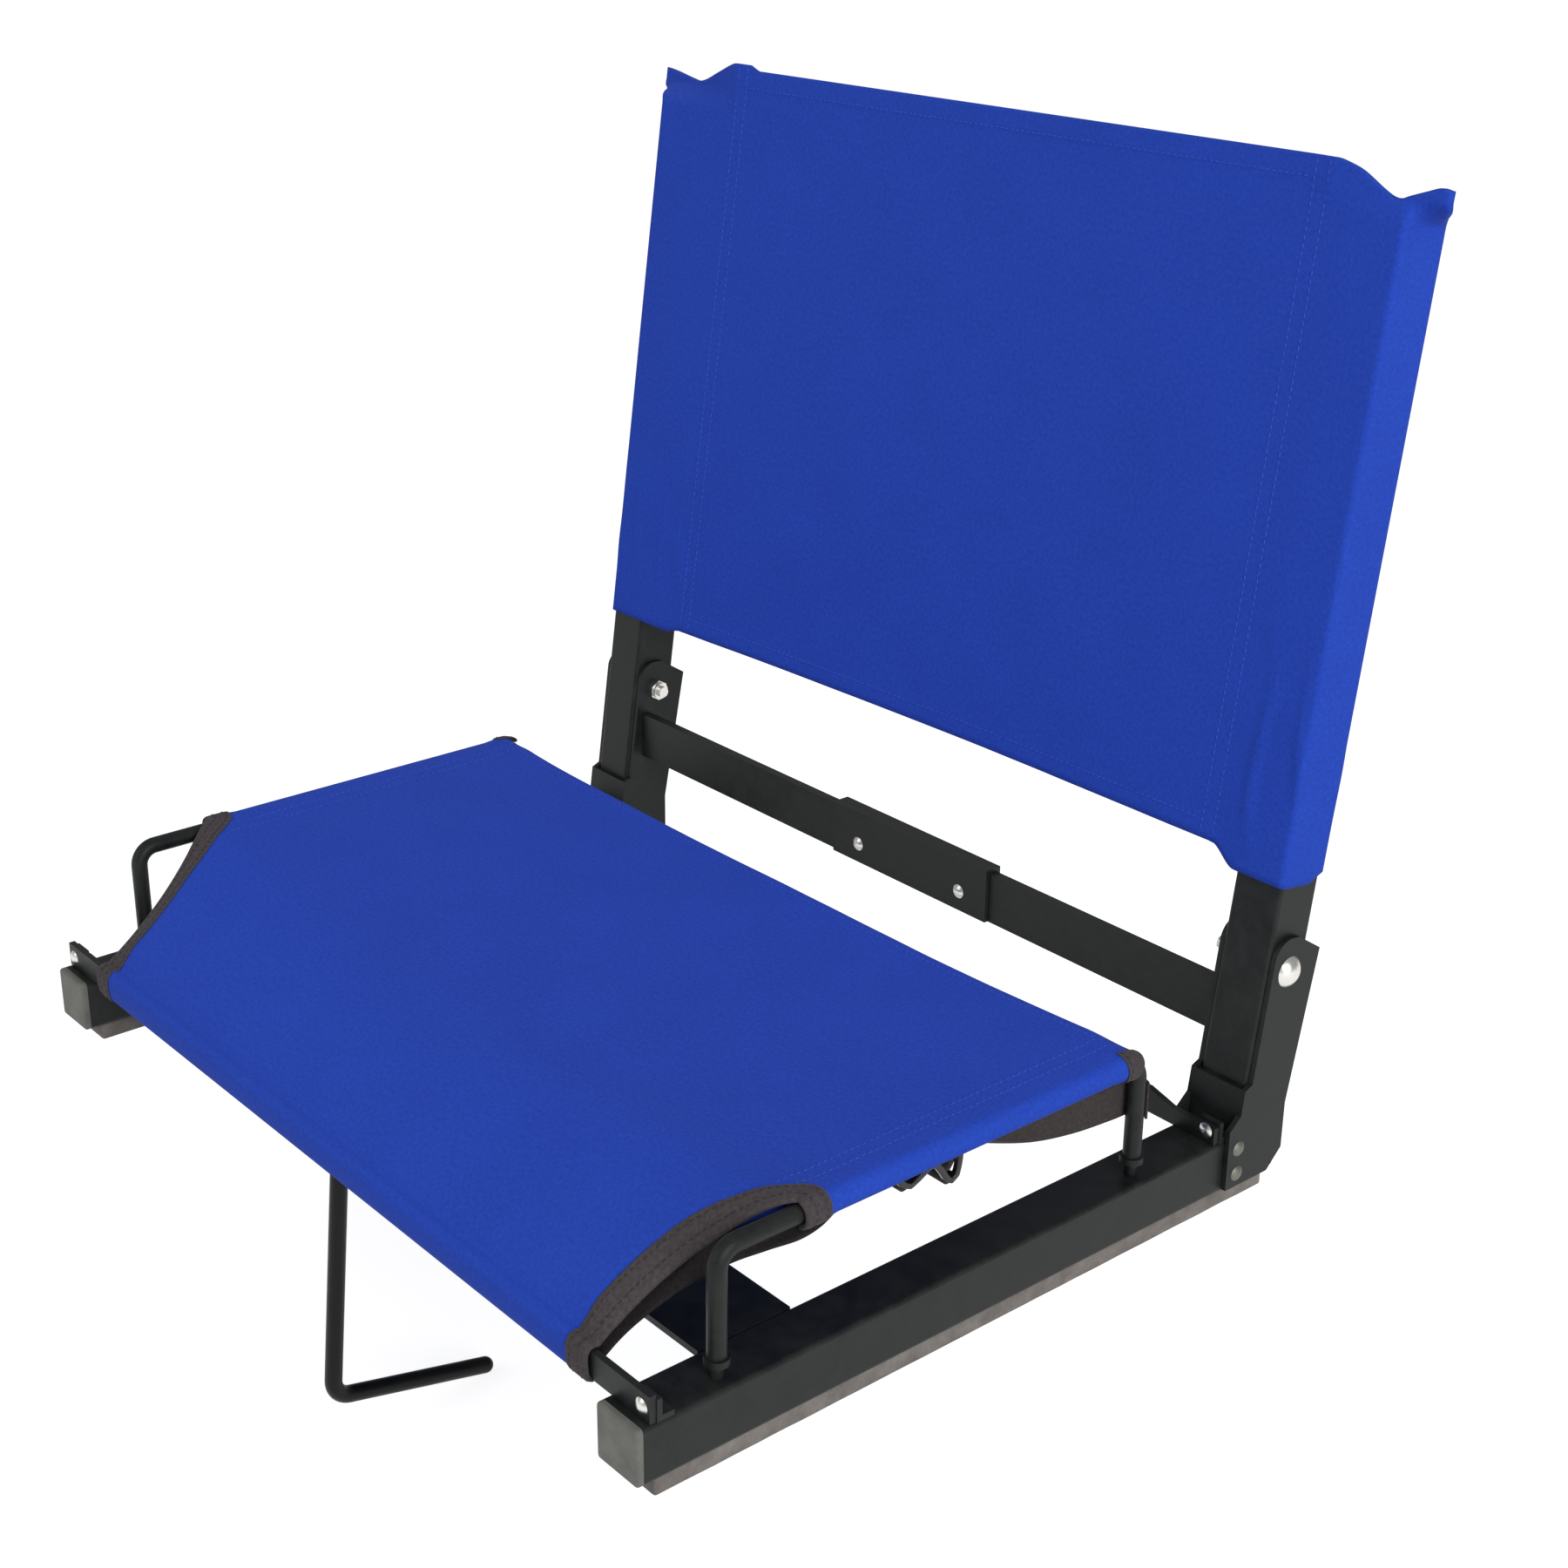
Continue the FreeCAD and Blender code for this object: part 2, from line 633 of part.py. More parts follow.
def rear_crossbar(name, side):
    """One flat bar on edge from a bracket's inner flange to the splice."""
    inner = f"(dims.splice_middle + {side} * dims.splice_gap / 2)"
    outer = f"({side} * {CROSSBAR_END})"
    start = outer if side == LEFT else inner
    bar = box(
        f"crossbar_bar_{name}",
        (start, CROSSBAR_FRONT, CROSSBAR_FOOT),
        (f"{side} * ({outer} - {inner})", "dims.crossbar_thick", "dims.crossbar_tall"),
    )
    keep(cut(f"crossbar_{name}", bar, crossbar_drills(name)), f"rear_crossbar_{name}")


def crossbar_sleeve():
    """A folded channel, open below, that sits over the two bars where they meet."""
    tall = "(dims.crossbar_tall + dims.sleeve_play + dims.sleeve_sheet)"
    start = "dims.splice_middle - dims.sleeve_length / 2"
    outer = box(
        "sleeve_outer", (start, SLEEVE_FRONT, CROSSBAR_FOOT),
        ("dims.sleeve_length", SLEEVE_DEPTH, tall))
    inner = box(
        "sleeve_inner",
        (f"{start} - dims.sleeve_sheet", f"{CROSSBAR_FRONT} - dims.sleeve_play",
         f"{CROSSBAR_FOOT} - dims.sleeve_sheet"),
        ("dims.sleeve_length + 2 * dims.sleeve_sheet", "dims.crossbar_thick + 2 * dims.sleeve_play",
         tall))
    channel = cut("sleeve_channel", outer, inner)
    keep(cut("sleeve_drilled", channel, crossbar_drills("sleeve")), "crossbar_sleeve")


def crossbar_rivets():
    rivets = []
    for name, (across, height) in zip(SIDES, crossbar_rivet_places()):
        head = (across, SLEEVE_FRONT, height)
        rivets.append(rivet(f"crossbar_rivet_{name}", head, Vector(0, -1, 0), SLEEVE_DEPTH))
    keep(group("crossbar_rivet_set", rivets), "crossbar_rivets")


def bar_drills(tag, back):
    drills = [
        cylinder(
            f"{tag}_drill_{name}", "dims.rivet_radius + dims.hole_play", "4 * dims.bar_thick",
            (f"{side} * {BAR_RIVET_REACH}", f"{back} - 2 * dims.bar_thick", BAR_RIVET_HEIGHT), Y_AXIS)
        for name, side in SIDES.items()
    ]
    return join(f"{tag}_drills", drills)


def front_bar():
    """A flat bar on edge over the front of both rails, inside the hem of the seat cloth."""
    bar = box(
        "front_bar_blank",
        (f"-{BAR_REACH}", f"{FRONT_BAR_BACK} - dims.bar_thick", BAR_FOOT),
        (f"2 * {BAR_REACH}", "dims.bar_thick", "dims.bar_tall"))
    keep(cut("front_bar_drilled", bar, bar_drills("front_bar", FRONT_BAR_BACK)), "front_bar")


def rear_seat_bar():
    """A flat bar on edge ahead of the brackets, lower at its ends."""
    body = doc.addObject("PartDesign::Body", "rear_bar")
    profile = sketch_on(body, "rear_bar_profile", "XZ_Plane", f"-{REAR_BAR_BACK}")
    top = f"{BAR_FOOT} + dims.bar_tall"
    end_top = f"{BAR_FOOT} + dims.rear_bar_end_tall"
    shoulder = f"(dims.rail_centre - {HALF_TUBE})"
    taper_start = f"({shoulder} - dims.rear_bar_taper)"
    outline(profile, [
        (f"-{BAR_REACH}", BAR_FOOT),
        (BAR_REACH, BAR_FOOT),
        (BAR_REACH, end_top),
        (shoulder, end_top),
        (taper_start, top),
        (f"-{taper_start}", top),
        (f"-{shoulder}", end_top),
        (f"-{BAR_REACH}", end_top),
    ])
    pad(body, "rear_bar_pad", profile, "dims.bar_thick")
    holes = sketch_on(body, "rear_bar_holes", "XZ_Plane", f"-{REAR_BAR_BACK}")
    for side in SIDES.values():
        circle(
            holes, f"{side} * {BAR_RIVET_REACH}", BAR_RIVET_HEIGHT,
            "dims.rivet_radius + dims.hole_play")
    pocket(body, "rear_bar_drilling", holes, "3 * dims.bar_thick", both_ways=True)
    keep(body, "rear_seat_bar")


def bar_lugs(tag, back):
    """Small angles welded on the rails behind a bar's ends."""
    lugs = []
    for name, side in SIDES.items():
        start = f"{side} * {BAR_RIVET_REACH} - dims.lug_width / 2"
        upright = box(
            f"{tag}_lug_upright_{name}", (start, back, RAIL_TOP),
            ("dims.lug_width", "dims.lug_sheet", "dims.lug_tall"))
        foot = box(
            f"{tag}_lug_foot_{name}", (start, back, RAIL_TOP),
            ("dims.lug_width", "dims.lug_foot", "dims.lug_sheet"))
        drill = cylinder(
            f"{tag}_lug_drill_{name}", "dims.rivet_radius + dims.hole_play", "4 * dims.lug_sheet",
            (f"{side} * {BAR_RIVET_REACH}", f"{back} - dims.lug_sheet", BAR_RIVET_HEIGHT), Y_AXIS)
        lugs.append(cut(f"{tag}_lug_{name}", join(f"{tag}_angle_{name}", [upright, foot]), drill))
    keep(group(f"{tag}_lug_pair", lugs), f"{tag}_lugs")


def bar_rivets(tag, back):
    rivets = [
        rivet(
            f"{tag}_rivet_{name}",
            (f"{side} * {BAR_RIVET_REACH}", f"{back} - dims.bar_thick", BAR_RIVET_HEIGHT),
            Vector(0, -1, 0), "dims.bar_thick + dims.lug_sheet")
        for name, side in SIDES.items()
    ]
    keep(group(f"{tag}_rivet_pair", rivets), f"{tag}_rivets")


HOOK_RIVET_ACROSS = "-(dims.eye_start + dims.eye_length / 2)"
HOOK_RIVET_PLACES = (
    f"{PLATE_FRONT} + dims.plate_depth / 4",
    f"{PLATE_FRONT} + dims.plate_depth * 2 / 3",
)


def hook_drills(tag):
    drills = [
        cylinder(
            f"hook_drill_{tag}_{order}", "dims.rivet_radius + dims.hole_play", "6 * dims.plate_thick",
            (HOOK_RIVET_ACROSS, place, f"{PLATE_FOOT} - 3 * dims.plate_thick"))
        for order, place in enumerate(HOOK_RIVET_PLACES)
    ]
    return join(f"hook_drills_{tag}", drills)


def cross_plate():
    """The wide flat plate between the rails that carries the hook's bracket."""
    half = f"(dims.rail_centre - {HALF_TUBE})"
    plate = box(
        "plate_blank", (f"-{half}", PLATE_FRONT, PLATE_FOOT),
        (f"2 * {half}", "dims.plate_depth", "dims.plate_thick"))
    keep(cut("plate_drilled", plate, hook_drills("plate")), "cross_plate")


def hook_bracket():
    """A strap under the cross plate whose front end is rolled into the hook's eye."""
    start = "-(dims.eye_start + dims.eye_length)"
    strap = box(
        "hook_strap", (start, HOOK_REAR, f"{PLATE_FOOT} - dims.eye_sheet"),
        ("dims.eye_length", f"{PLATE_FRONT} + dims.plate_depth - dims.hook_strap_spare - {HOOK_REAR}",
         "dims.eye_sheet"))
    centre = (start, HOOK_REAR, HOOK_HEIGHT)
    eye = cylinder("hook_eye", EYE_RADIUS, "dims.eye_length", centre, X_AXIS)
    bore = cylinder(
        "hook_eye_bore", "dims.hook_radius + dims.hook_play", "3 * dims.eye_length",
        shift(centre, X_AXIS, "-dims.eye_length"), X_AXIS)
    rolled = cut("hook_rolled", join("hook_strap_and_eye", [strap, eye]), bore)
    keep(cut("hook_bracket_drilled", rolled, hook_drills("bracket")), "hook_bracket")
    rivets = [
        rivet(
            f"hook_rivet_{order}", (HOOK_RIVET_ACROSS, place, RAIL_TOP), Z_AXIS,
            "dims.plate_thick + dims.eye_sheet")
        for order, place in enumerate(HOOK_RIVET_PLACES)
    ]
    keep(group("hook_rivet_pair", rivets), "hook_bracket_rivets")


def bleacher_hook():
    """Bent rod: a pivot end along X, a leg, and a foot that reaches back under the bench."""
    turn = "(90 - dims.hook_droop)"
    run = f"(dims.hook_foot_bend * tan({turn} / 2))"
    down = Vector(0, 0, -1)
    eye_end = "(dims.eye_start + dims.eye_length)"
    pivot_length = f"{eye_end} + dims.hook_tail - dims.hook_bend"
    foot_start = (
        "0", f"{run} * cos(dims.hook_droop)", f"-dims.hook_leg - {run} * sin(dims.hook_droop)")
    foot_end = (
        "0", "dims.hook_foot * cos(dims.hook_droop)",
        "-dims.hook_leg - dims.hook_foot * sin(dims.hook_droop)")
    foot = cylinder("hook_foot_rod", "dims.hook_radius", f"dims.hook_foot - {run}", foot_start)
    foot.Placement = FreeCAD.Placement(Vector(), FreeCAD.Rotation(X_AXIS, -90))
    drive(foot, "Placement.Rotation.Angle", "-90 - dims.hook_droop")
    tip = doc.addObject("Part::Sphere", "hook_tip")
    drive(tip, "Radius", "dims.hook_radius")
    put(tip, foot_end)
    parts = [
        cylinder(
            "hook_pivot_rod", "dims.hook_radius", pivot_length, ("-dims.hook_bend", "0", "0"),
            Vector(-1, 0, 0)),
        bend(
            "hook_top_bend", "dims.hook_bend", "dims.hook_radius", "90",
            ("-dims.hook_bend", "0", "-dims.hook_bend"), Z_AXIS, X_AXIS),
        cylinder(
            "hook_leg_rod", "dims.hook_radius", f"dims.hook_leg - dims.hook_bend - {run}",
            ("0", "0", "-dims.hook_bend"), down),
        bend(
            "hook_foot_bend_rod", "dims.hook_foot_bend", "dims.hook_radius", turn,
            ("0", "dims.hook_foot_bend", f"-dims.hook_leg + {run}"), Vector(0, -1, 0), down),
        foot,
        tip,
    ]
    hook = join("hook_rod", parts)
    hook.Placement = FreeCAD.Placement(Vector(), FreeCAD.Rotation(X_AXIS, -1))
    drive(hook, "Placement.Rotation.Angle", "-dims.hook_swing")
    put(hook, ("0", HOOK_REAR, HOOK_HEIGHT))
    keep(hook, "bleacher_hook")
    seat = (f"-{eye_end} - dims.retainer_play", HOOK_REAR, HOOK_HEIGHT)
    ring = cylinder("retainer_ring", "dims.retainer_radius", "dims.retainer_thick", seat, Vector(-1, 0, 0))
    bore = cylinder(
        "retainer_bore", "dims.hook_radius + dims.bolt_play", "3 * dims.retainer_thick",
        shift(seat, X_AXIS, "dims.retainer_thick"), Vector(-1, 0, 0))
    keep(cut("retainer", ring, bore), "hook_retainer")


def lean_back(item, across):
    """Sets a piece that was drawn upright about the pivot at its rest angle."""
    item.Placement = FreeCAD.Placement(Vector(), FreeCAD.Rotation(X_AXIS, -1))
    drive(item, "Placement.Rotation.Angle", "-dims.lean")
    put(item, (across, PIVOT_REAR, PIVOT_HEIGHT))


def back_upright(name, side):
    """A square tube that turns on the pivot bolt, drawn about the bolt's centre."""
    body = doc.addObject("PartDesign::Body", f"upright_{name}")
    section = sketch_on(body, f"upright_section_{name}", "XY_Plane", "-dims.upright_foot")
    square(section, "0", "0", HALF_TUBE)
    square(section, "0", "0", f"({HALF_TUBE} - dims.tube_wall)")
    pad(body, f"upright_tube_{name}", section, "dims.upright_foot + dims.upright_top")
    corner = number("dims.tube_side") * 0.66
    fillet(
        body, f"upright_corners_{name}", "dims.tube_corner",
        lambda edge: runs_along(edge, Z_AXIS) and far_from(edge, Vector(), Z_AXIS, corner),
    )
    hole = sketch_on(body, f"upright_hole_{name}", "YZ_Plane")
    circle(hole, "0", "0", "dims.bolt_radius + dims.bolt_play")
    pocket(body, f"upright_drilling_{name}", hole, "2 * dims.tube_side", both_ways=True)
    lean_back(body, f"{side} * dims.rail_centre")
    keep(body, f"back_upright_{name}")


def upright_plug(name, side, end_name, end, reach):
    """A moulded plug that closes one end of an upright."""
    tag = f"{end_name}_{name}"
    half_plug = f"({HALF_TUBE} - dims.tube_wall - dims.plug_play)"
    offset = f"{end} * {reach}"
    body = doc.addObject("PartDesign::Body", f"upright_plug_{tag}")
    flange = sketch_on(body, f"upright_plug_flange_{tag}", "XY_Plane", offset)
    square(flange, "0", "0", HALF_TUBE)
    pad(body, f"upright_plug_head_{tag}", flange, "dims.cap_thick", reverse=end < 0)
    corner = number("dims.tube_side") * 0.66
    fillet(
        body, f"upright_plug_corners_{tag}", "dims.tube_corner",
        lambda edge: runs_along(edge, Z_AXIS) and far_from(edge, Vector(), Z_AXIS, corner))
    face = number(f"{end} * ({reach} + dims.cap_thick)")
    fillet(
        body, f"upright_plug_edge_{tag}", "dims.pad_edge",
        lambda edge: abs(edge.CenterOfMass.z - face) < 0.01)
    plug = sketch_on(body, f"upright_plug_sketch_{tag}", "XY_Plane", offset)
    square(plug, "0", "0", half_plug)
    square(plug, "0", "0", f"({half_plug} - dims.plug_wall)")
    pad(body, f"upright_plug_body_{tag}", plug, "dims.plug_depth", reverse=end > 0)
    lean_back(body, f"{side} * dims.rail_centre")
    keep(body, f"upright_{tag}")


def shaped(name, node, shape):
    """Cloth and webbing, which no primitive fits, as shapes made from the sheet's sizes."""
    item = doc.addObject("Part::Feature", name)
    item.Shape = shape
    return keep(item, node)


def wrapped(points, height_from, height_to, skin):
    """A pocket of cloth of one thickness round a closed outline, run up along Z."""
    inner = Part.makePolygon(points + [points[0]])
    outer = inner.makeOffset2D(skin, 2)
    rise = Vector(0, 0, height_to - height_from)
    ring = Part.Face(outer).extrude(rise).cut(Part.Face(inner).extrude(rise))
    ring.translate(Vector(0, 0, height_from))
    return ring


def back_sling():
    """The back cloth: a pocket round each upright and a bowed panel between the stitch lines."""
    skin = number("dims.cloth")
    centre = number("dims.rail_centre")
    half = number(f"{HALF_TUBE} + dims.cloth_play")
    depth = -number("dims.back_panel_depth")
    foot = number("dims.back_foot")
    top = number("dims.upright_top + dims.back_over")
    panel_foot = number("dims.back_panel_foot")
    stitches = {
        LEFT: number("dims.back_stitch_left") - centre,
        RIGHT: centre - number("dims.back_stitch_right"),
    }
    pieces = []
    dips = []
    for side, stitch in stitches.items():
        near = side * (centre - half)
        far = side * (centre + half)
        pocket_line = [
            Vector(stitch, depth, 0), Vector(near, -half, 0), Vector(far, -half, 0),
            Vector(far, half, 0), Vector(near, half, 0),
        ]
        pieces.append(wrapped(pocket_line, foot, top, skin))
        mouth = abs(far - stitch) / 2
        dip = number("dims.back_dip")
        dip_radius = (mouth ** 2 + dip ** 2) / (2 * dip)
        middle = (far + stitch) / 2
        dips.append(Part.makeCylinder(
            dip_radius, 4 * half, Vector(middle, -2 * half, top - dip + dip_radius), Y_AXIS))
    bow = number("dims.back_bow")
    middle = (stitches[LEFT] + stitches[RIGHT]) / 2
    front = Part.Arc(
        Vector(stitches[LEFT], depth - skin / 2, 0), Vector(middle, depth - skin / 2 + bow, 0),
        Vector(stitches[RIGHT], depth - skin / 2, 0)).toShape()
    rear = Part.Arc(
        Vector(stitches[RIGHT], depth + skin / 2, 0), Vector(middle, depth + skin / 2 + bow, 0),
        Vector(stitches[LEFT], depth + skin / 2, 0)).toShape()
    ends = [
        Part.LineSegment(front.Vertexes[-1].Point, rear.Vertexes[0].Point).toShape(),
        Part.LineSegment(rear.Vertexes[-1].Point, front.Vertexes[0].Point).toShape(),
    ]
    face = Part.Face(Part.Wire([front, ends[0], rear, ends[1]]))
    face.translate(Vector(0, 0, panel_foot))
    panel = face.extrude(Vector(0, 0, top - panel_foot))
    cloth = panel.fuse([piece.cut(dip) for piece, dip in zip(pieces, dips)]).removeSplitter()
    item = shaped("back_cloth", "back_sling", cloth)
    lean_back(item, "0")


SEAT_FRONT_HALF = f"({ROD_CENTRE} - dims.seat_front_inset)"
SEAT_CUT_REAR = f"({ROD_FRONT} + dims.seat_cut_depth)"


def seat_station(share):
    """Half width, edge height and middle height of the seat cloth's top between bar and rods."""
    front_half = number(SEAT_FRONT_HALF)
    rod_half = number(f"{ROD_CENTRE} - dims.rod_radius - dims.seat_rod_gap")
    skin = number("dims.cloth + dims.cloth_play")
    low = number(f"{BAR_FOOT} + dims.bar_tall") + skin * 0.9
    high = number(f"{ROD_TOP} + dims.rod_radius") + skin * 0.9
    middle_high = high - number("dims.seat_sag_front")
    start = number(f"{FRONT_BAR_BACK} + dims.cloth_play + dims.cloth / 2")
    end = number(SEAT_CUT_REAR)
    return {
        "place": start + (end - start) * share,
        "half": front_half + (rod_half - front_half) * share ** 2.2,
        "edge": low + (high - low) * share * (1.1 - 0.1 * share),
        "middle": low + (middle_high - low) * share * (1.8 - 0.8 * share),
    }


def sheet_section(place, half, edge, middle, skin):
    """A thin bowed section of cloth across the seat, closed by its two short ends."""
    if abs(edge - middle) < 0.05:
        middle = edge - 0.05
    top = Part.Arc(
        Vector(-half, place, edge), Vector(0, place, middle), Vector(half, place, edge)).toShape()
    bottom = Part.Arc(
        Vector(half, place, edge - skin), Vector(0, place, middle - skin),
        Vector(-half, place, edge - skin)).toShape()
    right_end = Part.LineSegment(Vector(half, place, edge), Vector(half, place, edge - skin)).toShape()
    left_end = Part.LineSegment(Vector(-half, place, edge - skin), Vector(-half, place, edge)).toShape()
    return Part.Wire([top, right_end, bottom, left_end])


def sleeve_underside(share):
    """The right sleeve's lower layer at a share of its length: its seam and where it meets the rod."""
    skin = number("dims.cloth")
    rod = number(ROD_CENTRE)
    inset = number("dims.seat_stitch")
    edge = seat_station(1.0)["edge"]
    front = number("dims.seat_sag_front")
    sag = front + (number("dims.seat_sag_rear") - front) * share
    seam = edge - sag * (1 - ((rod - inset) / rod) ** 2) - skin * 0.9
    low = number(f"{ROD_TOP} - dims.rod_radius - dims.cloth_play") - skin * 0.85
    return Vector(rod - inset, 0, seam), Vector(rod - skin, 0, low)


def seat_sling():
    """The seat cloth: hemmed round the front bar, sleeved round both rods, sloping between."""
    skin = number("dims.cloth")
    play = number("dims.cloth_play")
    cut_rear = number(SEAT_CUT_REAR)
    rear = number(f"{ROD_REAR} - dims.seat_rear_inset")
    rod = number(ROD_CENTRE)
    rod_height = number(ROD_TOP)
    around = number("dims.rod_radius") + play
    sections = []
    for step in range(11):
        at = seat_station(step / 10)
        sections.append(sheet_section(at["place"], at["half"], at["edge"], at["middle"], skin))
    edge = seat_station(1.0)["edge"]
    middle_front = edge - number("dims.seat_sag_front")
    middle_rear = edge - number("dims.seat_sag_rear")
    sleeve_start = cut_rear + skin
    for step in range(7):
        share = step / 6
        middle = middle_front + (middle_rear - middle_front) * share * (1.5 - 0.5 * share)
        sections.append(sheet_section(
            sleeve_start + (rear - sleeve_start) * share, rod - skin, edge, middle, skin))
    panel = Part.makeLoft(sections, True, True)
    bar_back = number(FRONT_BAR_BACK) + play
    bar_front = number(f"{FRONT_BAR_BACK} - dims.bar_thick") - play
    bar_low = number(BAR_FOOT) - play
    bar_high = number(f"{BAR_FOOT} + dims.bar_tall") + play
    half = number(SEAT_FRONT_HALF)
    hem_outer = Part.makeBox(
        2 * half, bar_back - bar_front + 2 * skin, bar_high - bar_low + 2 * skin,
        Vector(-half, bar_front - skin, bar_low - skin))
    hem_inner = Part.makeBox(
        4 * half, bar_back - bar_front, bar_high - bar_low, Vector(-2 * half, bar_front, bar_low))
    hem = hem_outer.cut(hem_inner)
    under_sections = []
    for share, gap in ((0.0, 5.0), (0.3, 6.0), (0.55, skin / 2)):
        at = seat_station(share)
        under_sections.append(sheet_section(
            at["place"], at["half"] - 2, at["edge"] - gap, at["middle"] - gap, skin))
    under = Part.makeLoft(under_sections, True, True)
    pieces = [hem, under]
    sleeve_rear = number(f"{ROD_REAR} - dims.seat_sleeve_inset")
    thin = Vector(0, 0, skin * 0.7)
    for side in SIDES.values():
        start = Vector(side * rod, sleeve_start, rod_height)
        length = sleeve_rear - sleeve_start
        tube = Part.makeCylinder(around + skin, length, start, Y_AXIS)
        tube = tube.cut(Part.makeCylinder(around, length, start, Y_AXIS))
        flaps = []
        for place, share in ((sleeve_start, 0.0), (sleeve_rear, 1.0)):
            corners = []
            for corner in sleeve_underside(share):
                corners.append(Vector(side * corner.x, place, corner.z))
            corners += [corners[1] + thin, corners[0] + thin]
            flaps.append(Part.makePolygon(corners + [corners[0]]))
        pieces.append(tube)
        pieces.append(Part.makeLoft(flaps, True, True))
    shaped("seat_cloth", "seat_sling", panel.fuse(pieces))


def seat_binding(name, side):
    """Tape folded over the curved edge of a front corner cut-out."""
    width = number("dims.binding_width")
    thick = number("dims.binding_thick")
    play = number("dims.cloth_play")
    skin = number("dims.cloth")
    sections = []
    for share in (0.04, 0.2, 0.4, 0.6, 0.78):
        at = seat_station(share)
        fall = at["edge"] - at["middle"]
        sphere = (at["half"] ** 2 + fall ** 2) / (2 * fall) if abs(fall) > 0.01 else 1e6
        rise = math.asin(at["half"] / sphere) * (1 if fall > 0 else -1)
        corners = []
        for along, up in ((play, 0.5), (width, 0.5), (width, -0.5), (play, -0.5)):
            across = at["half"] + along * math.cos(rise)
            height = at["edge"] - skin / 2 + along * math.sin(rise) + up * thick
            corners.append(Vector(side * across, at["place"], height))
        sections.append(Part.makePolygon(corners + [corners[0]]))
    shaped(f"binding_{name}", f"seat_binding_{name}", Part.makeLoft(sections, True))


def band(sections, width, thick):
    """Webbing lofted through places, each with the direction across its width."""
    wires = []
    for centre, across in sections:
        across = Vector(across).normalize()
        face = across.cross(Y_AXIS).normalize()
        corners = []
        for side, up in ((-1, -1), (1, -1), (1, 1), (-1, 1)):
            corners.append(centre + across * (side * width / 2) + face * (up * thick / 2))
        wires.append(Part.makePolygon(corners + [corners[0]]))
    return Part.makeLoft(wires, True, True)


def loop_round(centre, axis, inner, thick, width):
    """A ring of webbing round a rod or a buckle's bar."""
    start = centre - axis * (width / 2)
    outer = Part.makeCylinder(inner + thick, width, start, axis)
    return outer.cut(Part.makeCylinder(inner, width, start, axis))


def closure_strap():
    """Webbing from the right rod's rear leg to a buckle, and a tab from there to the cloth."""
    width = number("dims.strap_width")
    thick = number("dims.strap_thick")
    play = number("dims.cloth_play")
    bar = number("dims.buckle_bar")
    length = number("dims.buckle_length")
    frame = number("dims.buckle_frame")
    rod = number(ROD_CENTRE)
    rod_top = number(ROD_TOP)
    rod_rear = number(ROD_REAR)
    rod_radius = number("dims.rod_radius")
    slack = number("dims.strap_slack")
    leg_middle = rod_top - number("dims.strap_drop") + width / 2
    face = rod - rod_radius - slack - thick / 2
    middle = face - width / 2 - number("dims.buckle_aside")
    drop_front = number("dims.buckle_front_drop")
    drop_rear = number("dims.buckle_rear_drop")
    front = Vector(middle, number(f"{SEAT_CUT_REAR} + dims.buckle_behind"), rod_top - drop_front)
    run = math.sqrt(length ** 2 - (drop_rear - drop_front) ** 2)
    rear = front + Vector(0, run, drop_front - drop_rear)
    leg_loop = loop_round(Vector(rod, rod_rear, leg_middle), Z_AXIS, rod_radius + slack, thick, width)
    bar_loop = loop_round(rear, X_AXIS, bar + play, thick, width)
    strap_start = Vector(face, rod_rear, leg_middle)
    strap_end = rear - Vector(0, 0, bar + play + thick / 2)
    reach = strap_end - strap_start
    strap = band([
        (strap_start, Z_AXIS),
        (strap_start + Vector(0, reach.y / 8, 0), Z_AXIS),
        (strap_start + Vector(reach.x / 5, reach.y / 2, reach.z / 3), Vector(1, 0, 3)),
        (strap_start + Vector(reach.x * 0.8, reach.y * 0.8, reach.z * 0.8), Vector(3, 0, 2)),
        (strap_end, X_AXIS),
    ], width, thick)
    shaped("strap_webbing", "closure_strap", strap.fuse([leg_loop, bar_loop]))
    tab_loop = loop_round(front, X_AXIS, bar + play, thick, width)
    tab_start = front + Vector(0, 0, bar + play + thick / 2)
    sleeve_start = number(SEAT_CUT_REAR)
    sleeve_length = number(f"{ROD_REAR} - dims.seat_sleeve_inset") - sleeve_start
    seam, low = sleeve_underside((tab_start.y - sleeve_start) / sleeve_length)
    tab_middle = (seam + low) * 0.5 - Vector(0, 0, thick)
    tab_end = Vector(tab_middle.x, tab_start.y - number("dims.tab_length"), tab_middle.z)
    tab = band([(tab_start, X_AXIS), (tab_end, low - seam)], width, thick)
    shaped("strap_tab_webbing", "strap_tab", tab.fuse(tab_loop))
    direction = (rear - front).normalize()
    span = width + 2 * play
    pieces = []
    for share in (0.0, 0.5, 1.0):
        centre = front + (rear - front) * share
        pieces.append(Part.makeCylinder(bar, span + frame, centre - X_AXIS * ((span + frame) / 2), X_AXIS))
    for side in SIDES.values():
        rail = Part.makeBox(frame, length + 2 * bar, 2 * bar)
        rail.translate(Vector(-frame / 2, -bar, -bar))
        rail.Placement = FreeCAD.Placement(
            front + X_AXIS * (side * (span + frame) / 2), FreeCAD.Rotation(Y_AXIS, direction)
        ).multiply(rail.Placement)
        pieces.append(rail)
    shaped("buckle_frame", "strap_buckle", pieces[0].fuse(pieces[1:]))


